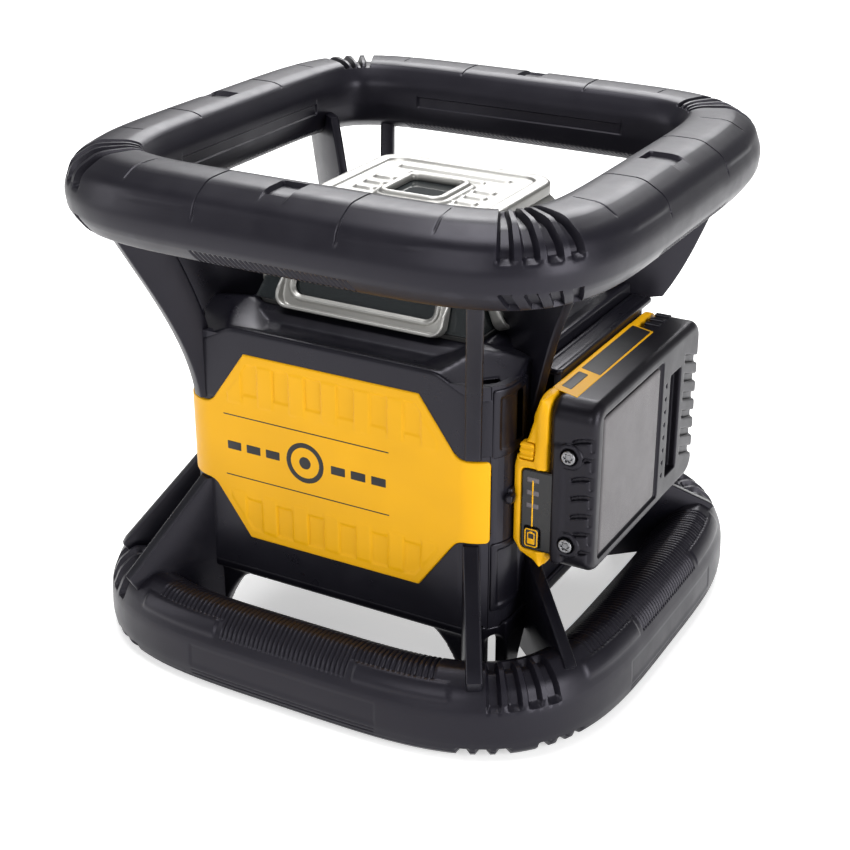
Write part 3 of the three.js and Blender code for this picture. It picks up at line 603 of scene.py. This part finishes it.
BAND_EDGES = (79.0, 119.6)  # the ribs stop clear of the yellow band between these heights
FRONT_POST = Blade(
    (69.5, 84.5), 0.475, "front", 7, (BAND_EDGES[1], 142, 170, 212), (0.4, 5.8, 18.5, 41), (-10, -8, 0, 18)
)
RIGHT_POST = Blade((80, 50), 0.69, "side", 4.6, (126, 152, 178, 212), (-0.5, 11, 23, 52), (-36, -36, -26, 4))
REAR_POST = Blade((80, 56), 0.69, "side", 4.6, (148, 160, 178, 212), (15, 23, 32, 49), (-14, -14, -10, 6))
FRONT_LEG = Blade(
    (69, 84.5), 0.53, "front", 7, (BAND_EDGES[0], 37, 30, 14), (0.3, 41, 37, 20), (-9, -12, -12, -8), straight
)
LEG_INS = (-30, -24, -16, -6)
LEFT_LEG = Blade((80, 62), 0.75, "side", 5.5, (84, 37, 30, 14), (3, 46, 41, 22), LEG_INS, straight)
RIGHT_LEG = Blade((80, 50), 0.75, "side", 5.5, (66, 35, 29, 14), (0, 52, 47, 30), LEG_INS, straight)


def posts_and_legs():
    corners = {"front_left": (-1, -1), "front_right": (1, -1), "rear_left": (-1, 1), "rear_right": (1, 1)}
    for name, corner in corners.items():
        blade(f"post_{name}", corner, FRONT_POST)
        blade(f"side_post_{name}", corner, RIGHT_POST if corner[1] < 0 else REAR_POST)
        blade(f"leg_{name}", corner, FRONT_LEG)
        blade(f"side_leg_{name}", corner, RIGHT_LEG if corner[0] > 0 else LEFT_LEG)


def deck_height(x, y):
    """The deck's top: a rim round a valley, and a ridge from each corner to the cage."""
    valley = 153.3
    ax, ay = np.abs(x), np.abs(y)
    reach = np.maximum(ax, ay)
    rim = -body_field(x, y)
    sill = np.interp(reach, (SILL, SILL + 3, 66, 72), (CURB, 157.4, 154.2, valley))
    edge = np.interp(rim, (2, 9), (156, valley))
    flank = np.interp(np.minimum(ax, ay), (40, 58), (0, 1))
    ridge = valley + flank * np.interp(reach, (SILL, 84), (7.5, 3.5))
    return np.maximum(np.maximum(sill, edge), ridge)


def deck_moulding():
    """The deck and the upper walls below it, in one moulding a hair proud of the shells."""
    facet_low, facet_high = (154.5, 146.5), (134.0, 156.5)  # x + y and z at a corner facet's edges
    rise, run = facet_high[1] - facet_low[1], (facet_low[0] - facet_high[0]) / math.sqrt(2)
    steep = math.hypot(rise, run)

    def field(x, y, z):
        wall = body_field(x, y, 0.1)
        plate = round_both(wall, z - deck_height(x, y), 1.6)
        diagonal = (np.abs(x) + np.abs(y) - facet_low[0]) / math.sqrt(2)
        facet = (diagonal * rise + (z - facet_low[1]) * run) / steep
        plate = both(round_both(plate, facet, 0.8), BAND_EDGES[1] + 0.6 - z)
        along = (np.abs(x) - 72.5 - np.abs(y) + 77) / math.sqrt(2)
        slot = both(capsule(along, z, (-4.5, 149.6), (4.5, 149.6), 1.9), -3.5 - facet)
        inside = both(rounded_rect(x, y, 62, 62, 8), z - 149)
        head = rounded_rect(x, y, 50, 50, 10)
        return less(plate, inside, head, both(slot, -x))

    low = (-BODY_X - 2, -BODY_Y - 2, BAND_EDGES[1])
    high = (BODY_X + 2, BODY_Y + 2, 162)
    carved("deck_moulding", low, high, 0.9, field, "black_plastic", ["upper_deck"], keep=0.6)


def apron(along, out, z):
    """A gusset in the plane of the wall between the tray and each pair of legs, arched in the middle."""
    arch = 33.5 - 12 * np.clip((np.abs(along) - 44) / 14, 0, 1.6) ** 2
    panel = both(arch - z, z - 40, np.abs(along) - 74)
    return both(panel, between(np.abs(out), 76, 81.5))


def base_moulding():
    """The tray under the body with its gussets, open for the tripod thread and four screws."""
    def field(x, y, z):
        rim = both(body_field(x, y), between(z, 33.5, BODY_BOTTOM - 0.05))
        floor = both(body_field(x, y, -6), between(z, 30, 35))
        inside = both(body_field(x, y, -9), 33 - z)
        tray = soft_either(less(rim, inside), floor, 3)
        whole = soft_either(tray, either(apron(x, y, z), apron(y, x, z)), 3)
        whole = less(whole, both(body_field(x, y, 0.1), BODY_BOTTOM - 0.05 - z))
        thread = both(np.hypot(x, y) - 17, between(z, 20, 50))
        screws = np.hypot(np.abs(x) - 58, np.abs(y) - 62) - 2.3
        return both(less(whole, thread, screws), 8 - z)

    low, high = (-BODY_X - 2, -BODY_Y - 2, 8), (BODY_X + 2, BODY_Y + 2, 42)
    carved("base_moulding", low, high, 0.9, field, "black_plastic", ["base_tray"], keep=0.6)


posts_and_legs()
deck_moulding()
base_moulding()


# ---------- Panels wrapped round the body ----------

FLAT = BODY_X - BODY_CORNER  # the front face is flat as far as this
ARC = BODY_CORNER * math.pi / 2


def wrapped(points):
    """Bends flat points (s, offset, z) round the body. s runs from the front's middle towards the left."""
    s, offset, z = points.T
    side = np.sign(s)
    reach = np.abs(s)
    turn = np.clip((reach - FLAT) / BODY_CORNER, 0, math.pi / 2)
    radius = BODY_CORNER + offset
    past = np.maximum(reach - FLAT - ARC, 0)
    x = np.minimum(reach, FLAT) + radius * np.sin(turn)
    y = -(BODY_Y - BODY_CORNER) - radius * np.cos(turn) + past
    return np.stack([-side * x, y, z], 1)


PANEL_TOP = panel_high[2]
PANEL_BOTTOM = panel_low[2]
BAND_TOP = 118.5
BAND_BOTTOM = 80.1
PLANK = 8.2  # the width of an embossed plank
RIGHT_END = -(FLAT + BODY_CORNER * math.asin((panel_high[0] - FLAT) / BODY_CORNER))


def panel_width(z, narrow, wide):
    """Half the panel's width at a height: wide beside the band, narrow at its top and bottom."""
    return np.interp(z, (PANEL_BOTTOM, BAND_BOTTOM, BAND_TOP, PANEL_TOP), (narrow, wide, wide, narrow))


def plank_height(s, z, narrow, wide):
    """How far the panel's surface stands out: planks of two lengths above and below a smooth band."""
    inset = 4.2
    width = panel_width(z, narrow, wide) - inset * 1.1
    place = s / PLANK + 0.5
    long = np.clip(np.sin(place * math.pi) * 8 + 0.5, 0, 1)
    upper = both(between(z, BAND_TOP + 6.5 - 4.5 * long, PANEL_TOP - inset), np.abs(s) - width)
    lower = both(between(z, PANEL_BOTTOM + inset, BAND_BOTTOM - 6 + 3 * long), np.abs(s) - width)
    zone = np.clip(-either(upper, lower) / 0.6, 0, 1)
    joint = np.clip(1.3 - np.abs(place - np.round(place)) * PLANK / 0.5, 0, 1)
    return 0.85 + zone * (0.8 * long - 0.5) - zone * joint * 0.15


def panel_field(s, offset, z, narrow, wide, ends):
    outline = both((np.abs(s) - panel_width(z, narrow, wide)) * 0.82, between(z, PANEL_BOTTOM, PANEL_TOP))
    band = round_both(between(s, *ends), between(z, BAND_BOTTOM, BAND_TOP), 2)
    shape = soft_either(outline, band, 3)
    skin = both(offset - plank_height(s, z, narrow, wide), -2 - offset)
    return round_both(shape, skin, 0.7)


def front_panel_skin():
    left_end = FLAT + BODY_CORNER * math.acos((70 - BODY_Y + BODY_CORNER) / BODY_CORNER)
    low, high = (RIGHT_END - 1, -2.5, PANEL_BOTTOM - 1), (left_end + 1, 1.5, PANEL_TOP + 1)

    def field(s, offset, z):
        return panel_field(s, offset, z, 43.9, 62.5, (RIGHT_END, left_end))

    nodes = ["front_panel"]
    carved("front_panel_skin", low, high, 0.55, field, "yellow_plastic", nodes, keep=0.45, move=wrapped)


def left_panel_skin():
    """The same panel on the left side, with a round gap for the tripod thread's boss."""
    low, high = span("left_panel")
    middle = FLAT + ARC + BODY_Y - BODY_CORNER
    boss_low, boss_high = span("tripod_insert_side")
    boss_z = (boss_low[2] + boss_high[2]) / 2
    start, stop = (low[1] - 1, -2.5, low[2] - 1), (high[1] + 1, 1.5, high[2] + 1)

    def field(s, offset, z):
        panel = panel_field(s, offset, z, 40, 57, (low[1], high[1]))
        return less(panel, np.hypot(s, z - boss_z) - 24.3)

    def onto_side(points):
        return wrapped(points + (middle, 0, 0))

    nodes = ["left_panel"]
    carved("left_panel_skin", start, stop, 0.6, field, "yellow_plastic", nodes, keep=0.45, move=onto_side)


front_panel_skin()
left_panel_skin()


# ---------- Cage ----------

def top_plate_field(x, y, z):
    """The stamped top plate: a sunk field, raised beads round a square window, and a rolled lip."""
    top, half = plate_high[2], plate_high[0]
    outline = rounded_rect(x, y, half, half, 12)
    window = rounded_rect(x, y, 13, 13, 2.5)
    field_edge = rounded_rect(x, y, half - 6.5, half - 6.5, 7)
    sunk = np.clip(-field_edge / 1.2, 0, 1) * np.clip((window - 5) / 1.5, 0, 1)
    across = np.abs(x)
    short = [(capsule(across, y, (22.5, row), (29, row), 2.9), 1.3) for row in (-9, 0, 9)]
    long = [(capsule(x, y, (-27, row), (27, row), 2.8), 1.6) for row in (-29, 29)]
    middling = [(capsule(across, y, (9, row), (18, row), 2.4), 1.6) for row in (-21.5, 21.5)]
    beads = both(*[np.clip(-bead / ramp, 0, 1) for bead, ramp in short + long + middling])
    height = top - 1.4 * sunk + 1.3 * beads
    solid = round_both(outline, z - height, 2.2)
    hollow = round_both(outline + 1.5, z - height + 1.5, 1.2)
    lip = np.hypot(window - 2.0, z - top + 0.3) - 2.0
    sheet = less(both(solid, plate_low[2] - z), hollow, window)
    return either(sheet, lip)


def cage_plate():
    low, high = plate_low - 1, plate_high + 1
    carved("cage_plate", low, high, 0.55, top_plate_field, "sheet_metal", ["cage_top_plate"])


def leaning_frame(turn, node):
    """A stamped frame with a folded lip round its foot, drawn flat and leant inwards."""
    half = span("cage_frame_front")[1][0]
    run = SILL - (plate_high[0] - 1)
    rise = plate_low[2] - 0.3 - FOOT
    lean = math.atan2(run, rise)
    slant = math.hypot(run, rise)

    def field(x, out, up):
        outline = rounded_rect(x, up - slant / 2, half, slant / 2, 6)
        opening = rounded_rect(x, up - slant / 2, half - 7, slant / 2 - 7, 4)
        sheet = both(outline, between(out, -1.5, 0))
        bead = np.hypot(np.abs(opening - 1.8), np.maximum(np.abs(out) - 0.2, 0)) - 0.9
        lip_height = np.interp(up, (0, 9, 16), (4.5, 4.0, 0.0))
        lip = both(outline, -outline - 1.6, between(out, -1.5, lip_height), up - 16)
        return less(either(round_both(sheet, outline, 0.5), bead, lip), opening)

    def stood_up(points):
        x, out, up = points.T
        y = -SILL - out * math.cos(lean) + up * math.sin(lean)
        z = FOOT + out * math.sin(lean) + up * math.cos(lean)
        return np.stack([x, y, z], 1) @ np.array(Matrix.Rotation(turn, 3, "Z")).T

    low, high = (-half, -2, -0.5), (half, 5, slant + 0.5)
    carved(node + "_stamping", low, high, 0.55, field, "sheet_metal", [node], move=stood_up)


cage_plate()
for index, name in enumerate(("front", "right", "rear", "left")):
    leaning_frame(index * math.pi / 2, "cage_frame_" + name)


# ---------- Battery pack ----------

PACK_FACE, PACK_TOP = pack_high[0], pack_high[2]
PACK_FRONT = pack_low[1]
_, PACK_Y, PACK_Z = (pack_low + pack_high) / 2
LABEL_Y, LABEL_Z = (-60.5, 1.0), (76.5, 139.5)  # the plate on the pack's outer face


def rect_between(u, v, u_span, v_span, r):
    """A rounded rectangle given by where it starts and ends."""
    u_mid, v_mid = sum(u_span) / 2, sum(v_span) / 2
    half_u, half_v = (u_span[1] - u_span[0]) / 2, (v_span[1] - v_span[0]) / 2
    return rounded_rect(u - u_mid, v - v_mid, half_u, half_v, r)


def pack_outline(y, z, radius, inset=0):
    _, half_y, half_z = (pack_high - pack_low) / 2 - inset
    return rounded_rect(y - PACK_Y, z - PACK_Z, half_y, half_z, radius)


def louvred(body, x, y, z):
    """Cuts slanting louvres with soft edges at the rear of the outer face."""
    for i in range(6):
        low = 82 + 9.2 * i
        louvre = both(between(z + 0.35 * (y - 40), low, low + 3.4), between(y, 31, 62), PACK_FACE - 2.4 - x)
        body = soft_less(body, louvre, 1.2)
    return body


def front_grooves(x, y, z):
    """Bent grooves across the pack's front, each with a tick at its outer end."""
    skin = y - PACK_FRONT - 1.4
    bent = z + 0.028 * (116 - x) ** 2
    for i in range(7):
        low = 79.5 + 8.6 * i
        yield both(between(bent, low, low + 1.7), between(x, 107, 116.4), skin)
        yield both(between(z, low - 4.2, low + 1.7), between(x, 114.9, 116.4), skin)


def screw_seats(body, x, y, z):
    """Adds the pillar and the two ears at the pack's front, and sinks the screws' seats."""
    front = PACK_FRONT
    pillar = rect_between(x, z, (98.5, 104), (72, 128), 2.5)
    body = soft_either(body, round_both(pillar, between(y, front - 1.2, front + 4), 1.6), 1.5)
    seats = [np.hypot(x - 106, z - height) - 4.6 for height in (82.5, 123.5)]
    body = either(body, *[both(seat - 1.2, between(y, front - 1.0, front + 4)) for seat in seats])
    return less(body, *[both(seat + 0.9, y - front - 0.6) for seat in seats])


def pack_shell_field(x, y, z):
    outline = pack_outline(y, z, 9)
    body = round_both(outline, between(x, pack_low[0], PACK_FACE), 4.0)
    body = both(body, outline, pack_low[0] - x)
    border_y, border_z = (LABEL_Y[0] - 1.6, LABEL_Y[1] + 3.2), (LABEL_Z[0] - 1.6, LABEL_Z[1] + 1.6)
    border = both(rect_between(y, z, border_y, border_z, 2), PACK_FACE - 1.3 - x)
    slot = both(rect_between(y, z, (13, 26), (81, 131), 1), PACK_FACE - 3.5 - x)
    body = louvred(less(body, border, slot), x, y, z)
    for groove in front_grooves(x, y, z):
        body = less(body, groove)
    for i in range(8):
        body = less(body, both(np.hypot(y - 8.5, z - 84 - 6.3 * i) - 0.9, PACK_FACE - 1 - x))
    body = screw_seats(body, x, y, z)
    wall = 4.5
    return less(body, both(pack_outline(y, z, 4, wall), x - PACK_FACE + wall))


def pack_shell():
    low, high = pack_low - 2, pack_high + 1
    nodes = ["battery_base_shell"]
    carved("pack_shell", low, high, 0.65, pack_shell_field, "battery_black", nodes, "battery")


def pack_label():
    """The brushed plate set into the pack's outer face."""
    def field(x, y, z):
        plate = rect_between(y, z, LABEL_Y, LABEL_Z, 1.2)
        return round_both(plate, between(x, PACK_FACE - 2, PACK_FACE - 0.25), 0.4)

    low = (PACK_FACE - 2.5, LABEL_Y[0] - 1, LABEL_Z[0] - 1)
    high = (PACK_FACE + 0.5, LABEL_Y[1] + 1, LABEL_Z[1] + 1)
    carved("pack_label", low, high, 0.8, field, "battery_black", (), "battery", "brushed_grey", 0.2)


def nose_field(x, y, z):
    """The housing's nose, which widens towards the body round the release button and the gauge."""
    heights = (66, 71, 74, 79, 114, 119, 127, 138, 147)
    inner_edge = np.interp(z, heights, (95, 90.5, 84, 80.8, 80.8, 82, 86.2, 89.5, 92))
    face = top_low[1] + np.interp(z, (116, 119, 128, 146), (-0.4, -0.9, 0.6, 0))
    nose = both((inner_edge - x) * 0.85, x - 94, between(z, 66.5, 146))
    return round_both(nose, both(face - y, y + 57.5), 1.6)


def widened(low, high, gap):
    """The spans in x and z of a box with a gap round it."""
    return (low[0] - gap, high[0] + gap), (low[2] - gap, high[2] + gap)


def top_housing_field(x, y, z):
    flange = round_both(pack_outline(y, z, 8), between(x, 91.2, top_high[0]), 1.2)
    tongue = both(between(x, top_low[0] + 3.6, 92), between(y, -58, 49), between(z, 75, 141))
    guide = both(between(x, top_low[0] + 3.6, 87), between(y, -40, 49), np.abs(np.abs(z - PACK_Z) - 35.5) - 3)
    whole = soft_either(either(flange, tongue, guide), nose_field(x, y, z), 2)
    seat_z = (gauge_low[2] - 0.3, gauge_high[2] + 0.3)
    gauge_seat = rect_between(x, z, (gauge_low[0] - 0.3, 120), seat_z, 2.4)
    gauge_seat = both(gauge_seat, y - gauge_high[1] - 0.2)
    key_bore = both(rect_between(x, z, *widened(key_low, key_high, 0.4), 1), y - key_high[1] - 1.5)
    release_seat = both(rect_between(x, z, (82.8, 90.2), (117.4, 125.6), 1.2), y - top_low[1] - 8)
    channel = both(between(x, top_low[0] - 1, 91.6), between(y, -12, 60), between(z, 92, 126))
    post_room = both(x - np.interp(z, (126, 148), (81.8, 89.6)), 126 - z)  # the side post passes here
    return less(whole, gauge_seat, key_bore, release_seat, channel, post_room)


def top_housing():
    low, high = top_low - 2, top_high + 1
    nodes = ["battery_top_housing"]
    carved("pack_housing", low, high, 0.7, top_housing_field, "yellow_plastic", nodes, "battery")


def rounded_block(name, low, high, radius, slot, nodes=(), body="housing", look=None, step=0.5, keep=0.6):
    """A block with every edge rounded."""
    low, high = np.array(low, float), np.array(high, float)

    def field(x, y, z):
        sides = [np.abs(v - (a + b) / 2) - (b - a) / 2 for v, a, b in zip((x, y, z), low, high)]
        return round_both(round_both(sides[0], sides[2], radius), sides[1], radius)

    carved(name, low, high, step, field, slot, nodes, body, look, keep)


def gauge_plate():
    """A gloss plate with a hole for its key."""
    def field(x, y, z):
        plate = rect_between(x, z, (gauge_low[0], 100), (gauge_low[2], gauge_high[2]), 2.2)
        key_hole = rect_between(x, z, *widened(key_low, key_high, 0.3), 1.3)
        return less(round_both(plate, between(y, gauge_low[1], gauge_high[1]), 0.5), key_hole)

    low, high = gauge_low - 1, (101, gauge_high[1] + 1, gauge_high[2] + 1)
    carved("gauge_plate", low, high, 0.45, field, "gauge_black", ["charge_gauge"], "battery")


def gauge_bars():
    """Three printed bars on a line above the key."""
    face = gauge_low[1]
    middle = (key_low[0] + key_high[0]) / 2
    heights = (109, 103, 97)
    for index, height in enumerate(heights):
        low, high = (middle - 3, face - 0.12, height - 1.3), (middle + 3, face + 0.3, height + 1.3)
        bar = f"gauge_bar_{index}"
        rounded_block(bar, low, high, 0.1, "gauge_black", body="battery", look="ink_grey", step=0.3)
    low, high = (middle - 0.4, face - 0.2, key_high[2] + 0.6), (middle + 0.4, face + 0.3, heights[0])
    rounded_block("gauge_line", low, high, 0.1, "yellow_plastic", body="battery", step=0.2)


def gauge_key():
    """The gauge's key with a battery sign."""
    x0, _, z0 = (key_low + key_high) / 2
    half_u, _, half_v = (key_high - key_low) / 2

    def sign(x, y, z):
        u, v = x - x0, z - z0
        frame_line = np.abs(rounded_rect(u, v, half_u - 0.5, half_v - 0.5, 1.1)) - 0.3
        cell = np.abs(rounded_rect(u, v + 0.2, 1.5, 2.5, 0.3)) - 0.28
        fill = rounded_rect(u, v + 1.4, 1.2, 1.1, 0.1)
        cap = rounded_rect(u, v - 2.8, 0.7, 0.3, 0.1)
        return both(either(frame_line, cell, fill, cap), between(y, key_low[1] - 0.15, key_low[1] + 0.2))

    body = "battery_gauge_key"
    rounded_block("gauge_key", key_low, key_high, 0.6, "gauge_black", ["gauge_button"], body, step=0.35)
    low, high = (key_low[0], key_low[1] - 0.3, key_low[2]), (key_high[0], key_low[1] + 0.4, key_high[2])
    carved("gauge_sign", low, high, 0.15, sign, "yellow_plastic", body=body, keep=0.4)


def release():
    """The release button, ridged for a thumb."""
    low, high = span("release_button")

    def field(x, y, z):
        block = rect_between(x, z, (low[0], high[0]), (low[2], high[2]), 1.2)
        ridges = 0.35 * np.cos((z - low[2]) * math.pi / 1.3)
        front = low[1] + 0.4 + 0.12 * (z - low[2]) + ridges
        return round_both(block, both(front - y, y - high[1]), 0.6)

    nodes = ["release_button"]
    carved("release_key", low - [0, 1, 0], high, 0.35, field, "yellow_plastic", nodes, "battery_release")


def top_slats():
    """Three raised slats near the rear of the pack's top."""
    z = PACK_TOP
    for index in range(3):
        y = pack_high[1] - 22 + 6.2 * index
        low, high = (97.5, y, z - 0.6), (105, y + 3.4, z + 0.55)
        rounded_block(f"pack_slat_{index}", low, high, 0.5, "battery_black", body="battery", step=0.4)


def top_label():
    """A printed strip on the pack's top: black in a yellow frame, without lettering."""
    top = PACK_TOP
    strips = [
        ("pack_strip_yellow", (91.6, -61), (105.2, 22), "yellow_plastic", None, 0.12),
        ("pack_strip_black", (93.6, -36), (104.2, 21), "battery_black", "ink_black", 0.22),
        ("pack_strip_tab", (94.2, -57), (99.8, -39), "battery_black", "ink_black", 0.22),
    ]
    for name, start, stop, slot, look, proud in strips:
        def field(x, y, z):
            skewed = y + 0.35 * (x - 103)
            plate = rect_between(x, skewed, (start[0], stop[0]), (start[1], stop[1]), 0.8)
            return both(plate, between(z, top - 0.4, top + proud))

        low, high = (start[0], start[1] - 6, top - 0.4), (stop[0], stop[1] + 6, top + 0.3)
        carved(name, low, high, 0.4, field, slot, body="battery", look=look, keep=0.2)


def torx_screw(name, node):
    """A screw with a round head and a six-lobed socket."""
    low, high = span(node)
    x0, _, z0 = (low + high) / 2

    def field(x, y, z):
        u, v = x - x0, z - z0
        radius, turn = np.hypot(u, v), np.arctan2(v, u)
        head = round_both(radius - 3.1, between(y, low[1], low[1] + 2), 0.5)
        socket = both(radius - 1.65 - 0.45 * np.cos(6 * turn), y - low[1] - 1.5)
        shank = both(radius - 1.9, between(y, low[1] + 1, high[1]))
        return either(less(head, socket), shank)

    carved(name, low, high, 0.3, field, "screw_steel", [node], "battery")


pack_shell()
pack_label()
top_housing()
gauge_plate()
gauge_bars()
gauge_key()
release()
top_slats()
top_label()
torx_screw("pack_screw_lower", "battery_screw_lower")
torx_screw("pack_screw_upper", "battery_screw_upper")


# ---------- Marks and small mouldings on the body ----------

def band_mark():
    """A plain printed sign on the yellow band: a turning head with its beam, between two lines."""
    middle = -13

    def field(x, y, z):
        u, v = np.abs(x - middle), z - (BAND_TOP + BAND_BOTTOM) / 2
        lines = both(np.abs(np.abs(v) - 15) - 0.55, u - 43)
        head = np.abs(np.hypot(u, v) - 8.5) - 1.4
        dot = np.hypot(u, v) - 3.2
        beam = both(np.abs(v) - 2.2, between(u, 13, 43), np.abs(np.mod(u - 13, 10.3) - 3.9) - 3.9)
        return both(either(lines, head, dot, beam), between(y, -BODY_Y - 0.95, -BODY_Y - 0.3))

    low, high = (-58, -BODY_Y - 1.1, BAND_BOTTOM + 2), (32, -BODY_Y, BAND_TOP - 2)
    carved("band_mark", low, high, 0.4, field, "black_plastic", look="ink_black", keep=0.2)


def corner_covers():
    """Raised plates on the front right corner, above and below the band's end."""
    start = RIGHT_END - 0.4
    plates = (("upper", -101, 119.5, 150.5, 3.5), ("lower", -99, 46, 79.3, 3.0))
    for name, end, bottom, top, rim in plates:
        def field(s, offset, z):
            plate = rect_between(s, z, (end, start), (bottom, top), 1.5)
            skin = both(offset - 0.7, -1.5 - offset)
            middle = rect_between(s, z, (end + rim, start - rim), (bottom + rim, top - rim), 1)
            return less(round_both(plate, skin, 0.5), both(middle, 0.1 - offset))

        low, high = (end - 1, -2, bottom - 1), (start + 1, 1.2, top + 1)
        carved(f"corner_cover_{name}", low, high, 0.5, field, "black_plastic", keep=0.4, move=wrapped)


def dock_roof():
    """The strip over the dock, above the pack, with two grooves along it."""
    low, high = span("battery_dock")

    def field(x, y, z):
        strip = rect_between(x, y, (low[0] + 0.1, high[0] + 0.4), (low[1] - 0.5, high[1] + 0.5), 2)
        groove = 0.4 * np.clip(1 - np.abs(np.abs(x - 85.5) - 3) / 0.6, 0, 1)
        return round_both(strip, both(z - high[2] - 0.8 + groove, pack_high[2] + 0.9 - z), 0.6)

    start = (low[0], low[1] - 1, pack_high[2])
    carved("dock_roof", start, high + 1, 0.5, field, "black_plastic")


def dock_latch():
    """The catch beside the pack's nose."""
    rounded_block("dock_catch", (78.5, -72, 96), (81.6, -62, 104), 1.2, "black_plastic")
    rounded_block("dock_catch_pin", (79.5, -75, 98), (83, -70, 102), 1.2, "black_plastic")


band_mark()
corner_covers()
dock_roof()
dock_latch()


# ---------- Keypad ----------

KEYS = ("power", "speed", "scan", "up", "down", "left", "right")


def key_circle(name):
    """The middle in x and z and the radius of a round key."""
    low, high = span(f"{name}_button")
    x0, _, z0 = (low + high) / 2
    return x0, z0, (high[0] - low[0]) / 2


def keypad():
    """The panel behind the keys: a sunk face with a raised collar round each key."""
    low, high = span("keypad_panel")
    middle_z = (low[2] + high[2]) / 2
    circles = [key_circle(name) for name in KEYS]

    def field(x, y, z):
        plate = rounded_rect(x, z - middle_z, high[0], (high[2] - low[2]) / 2, 6)
        panel = round_both(plate, between(y, low[1], high[1]), 1.0)
        panel = less(panel, both(plate + 1.8, high[1] - 0.7 - y))
        for x0, z0, reach in circles:
            radius = np.hypot(x - x0, z - z0)
            collar = both(np.abs(radius - reach - 1.3) - 0.6, between(y, low[1], high[1]))
            panel = less(either(panel, collar), radius - reach - 0.5)
        return panel

    carved("keypad_plate", low - 1, high + 1, 0.5, field, "black_plastic", ["keypad_panel"])


def arrow(u, v, turn):
    """A small triangle that points to the right, turned anticlockwise."""
    c, s = math.cos(turn), math.sin(turn)
    a, b = u * c + v * s, v * c - u * s
    return both(-a - 1.2, a * 0.55 + np.abs(b) - 0.9)


def key_sign(name, u, v):
    """The generic sign on each key, seen from behind the body."""
    ring = np.abs(np.hypot(u, v) - 2.1) - 0.3
    if name == "power":
        gap = both(np.abs(u) - 0.8, -v)
        return either(less(ring, gap), both(np.abs(u) - 0.3, between(v, 0.2, 2.8)))
    if name == "speed":
        return both(ring, -either(both(np.abs(v) - 0.7, -u), u + 9))
    if name == "scan":
        bars = both(np.abs(np.abs(u) - 2) - 0.3, np.abs(v) - 1.3)
        return either(both(np.abs(v) - 0.3, np.abs(u) - 2.2), bars)
    turns = {"up": 0.5, "down": 1.5, "left": 1.0, "right": 0.0}
    return arrow(u, v, turns[name] * math.pi)


def keys():
    for name in KEYS:
        low, high = span(f"{name}_button")
        x0, z0, reach = key_circle(name)

        def cap(x, y, z):
            radius = np.hypot(x - x0, z - z0)
            crown = high[1] - 0.5 + 0.5 * np.clip(radius / reach, 0, 1) ** 2
            return round_both(radius - reach, both(low[1] - y, y - crown), 0.6)

        def sign(x, y, z):
            return both(key_sign(name, x0 - x, z - z0), between(y, high[1] - 0.8, high[1] - 0.25))

        body = f"{name}_key"
        start = (low[0], high[1] - 1.2, low[2])
        carved(f"{name}_cap", low, high, 0.4, cap, "key_plastic", [f"{name}_button"], body)
        carved(f"{name}_sign", start, high, 0.18, sign, "key_plastic", (), body, "ink_white", 0.4)


keypad()
keys()


# ---------- CAD nodes that stay in view ----------

def ease_edges(node, width):
    """Bevels a CAD node's edges with a modifier, which leaves its own mesh as it is."""
    bevel = frame["nodes"][node].modifiers.new("eased", "BEVEL")
    bevel.width = width * MM
    bevel.segments = 2
    bevel.limit_method = "ANGLE"
    bevel.angle_limit = math.radians(40)


for node in ("battery_dock", "tripod_insert_bottom", "tripod_insert_side", "rotor_hub"):
    ease_edges(node, 0.5)


# ---------- Floor, light and camera ----------

def area_light(name, place, target, size, power):
    light = bpy.data.lights.new(name, "AREA")
    light.shape = "RECTANGLE"
    light.size, light.size_y = size
    light.energy = power
    lamp = add_object(name, light)
    lamp.location = place
    lamp.rotation_euler = (Vector(target) - Vector(place)).to_track_quat("-Z", "Y").to_euler()


def floor():
    """A pale floor which glows a little, so that it stays pale far from the lights."""
    mesh = bpy.data.meshes.new("floor")
    reach = 60.0
    corners = [(-reach, -reach, 0), (reach, -reach, 0), (reach, reach, 0), (-reach, reach, 0)]
    mesh.from_pydata(corners, [], [(0, 1, 2, 3)])
    ground = add_object("floor", mesh)
    ground.location.z = -0.5 * MM
    material, _, shader, _ = new_material("pale_floor")
    shader.inputs["Base Color"].default_value = (0.85, 0.85, 0.85, 1)
    shader.inputs["Roughness"].default_value = 0.8
    shader.inputs["Emission Color"].default_value = (1, 1, 1, 1)
    shader.inputs["Emission Strength"].default_value = 0.5
    mesh.materials.append(material)


def camera():
    """Stands ahead of the front right corner and looks a little down, as the photographed view does."""
    azimuth, pitch = math.radians(28.99), math.radians(24.81)
    distance, height = 0.7246, 0.4212  # level distance from the part's middle, and height above the floor
    data = bpy.data.cameras.new("camera")
    data.sensor_width = 36
    data.lens = 70.47
    view = add_object("camera", data)
    view.location = (math.sin(azimuth) * distance, -math.cos(azimuth) * distance, height)
    view.rotation_euler = (math.pi / 2 - pitch, 0, azimuth)
    bpy.context.scene.camera = view


def sky():
    world = bpy.data.worlds.new("studio")
    bpy.context.scene.world = world
    world.use_nodes = True
    background = world.node_tree.nodes["Background"]
    background.inputs["Color"].default_value = (1, 1, 1, 1)
    background.inputs["Strength"].default_value = 0.25


floor()
sky()
area_light("back_light", (-0.4, 1.2, 1.1), (0, 0, 0.15), (1.2, 0.7), 23)
area_light("top_light", (-0.1, 0.0, 1.3), (0, 0, 0.15), (0.8, 0.6), 13)
area_light("left_light", (-1.3, -0.9, 0.7), (0, 0, 0.12), (0.5, 1.0), 6)
area_light("right_light", (1.35, -0.3, 0.45), (0, 0, 0.1), (0.7, 0.8), 15)
area_light("front_light", (0.1, -1.8, 0.8), (0, 0, 0.12), (1.0, 0.6), 9)
camera()
bpy.context.scene.view_settings.view_transform = "Standard"
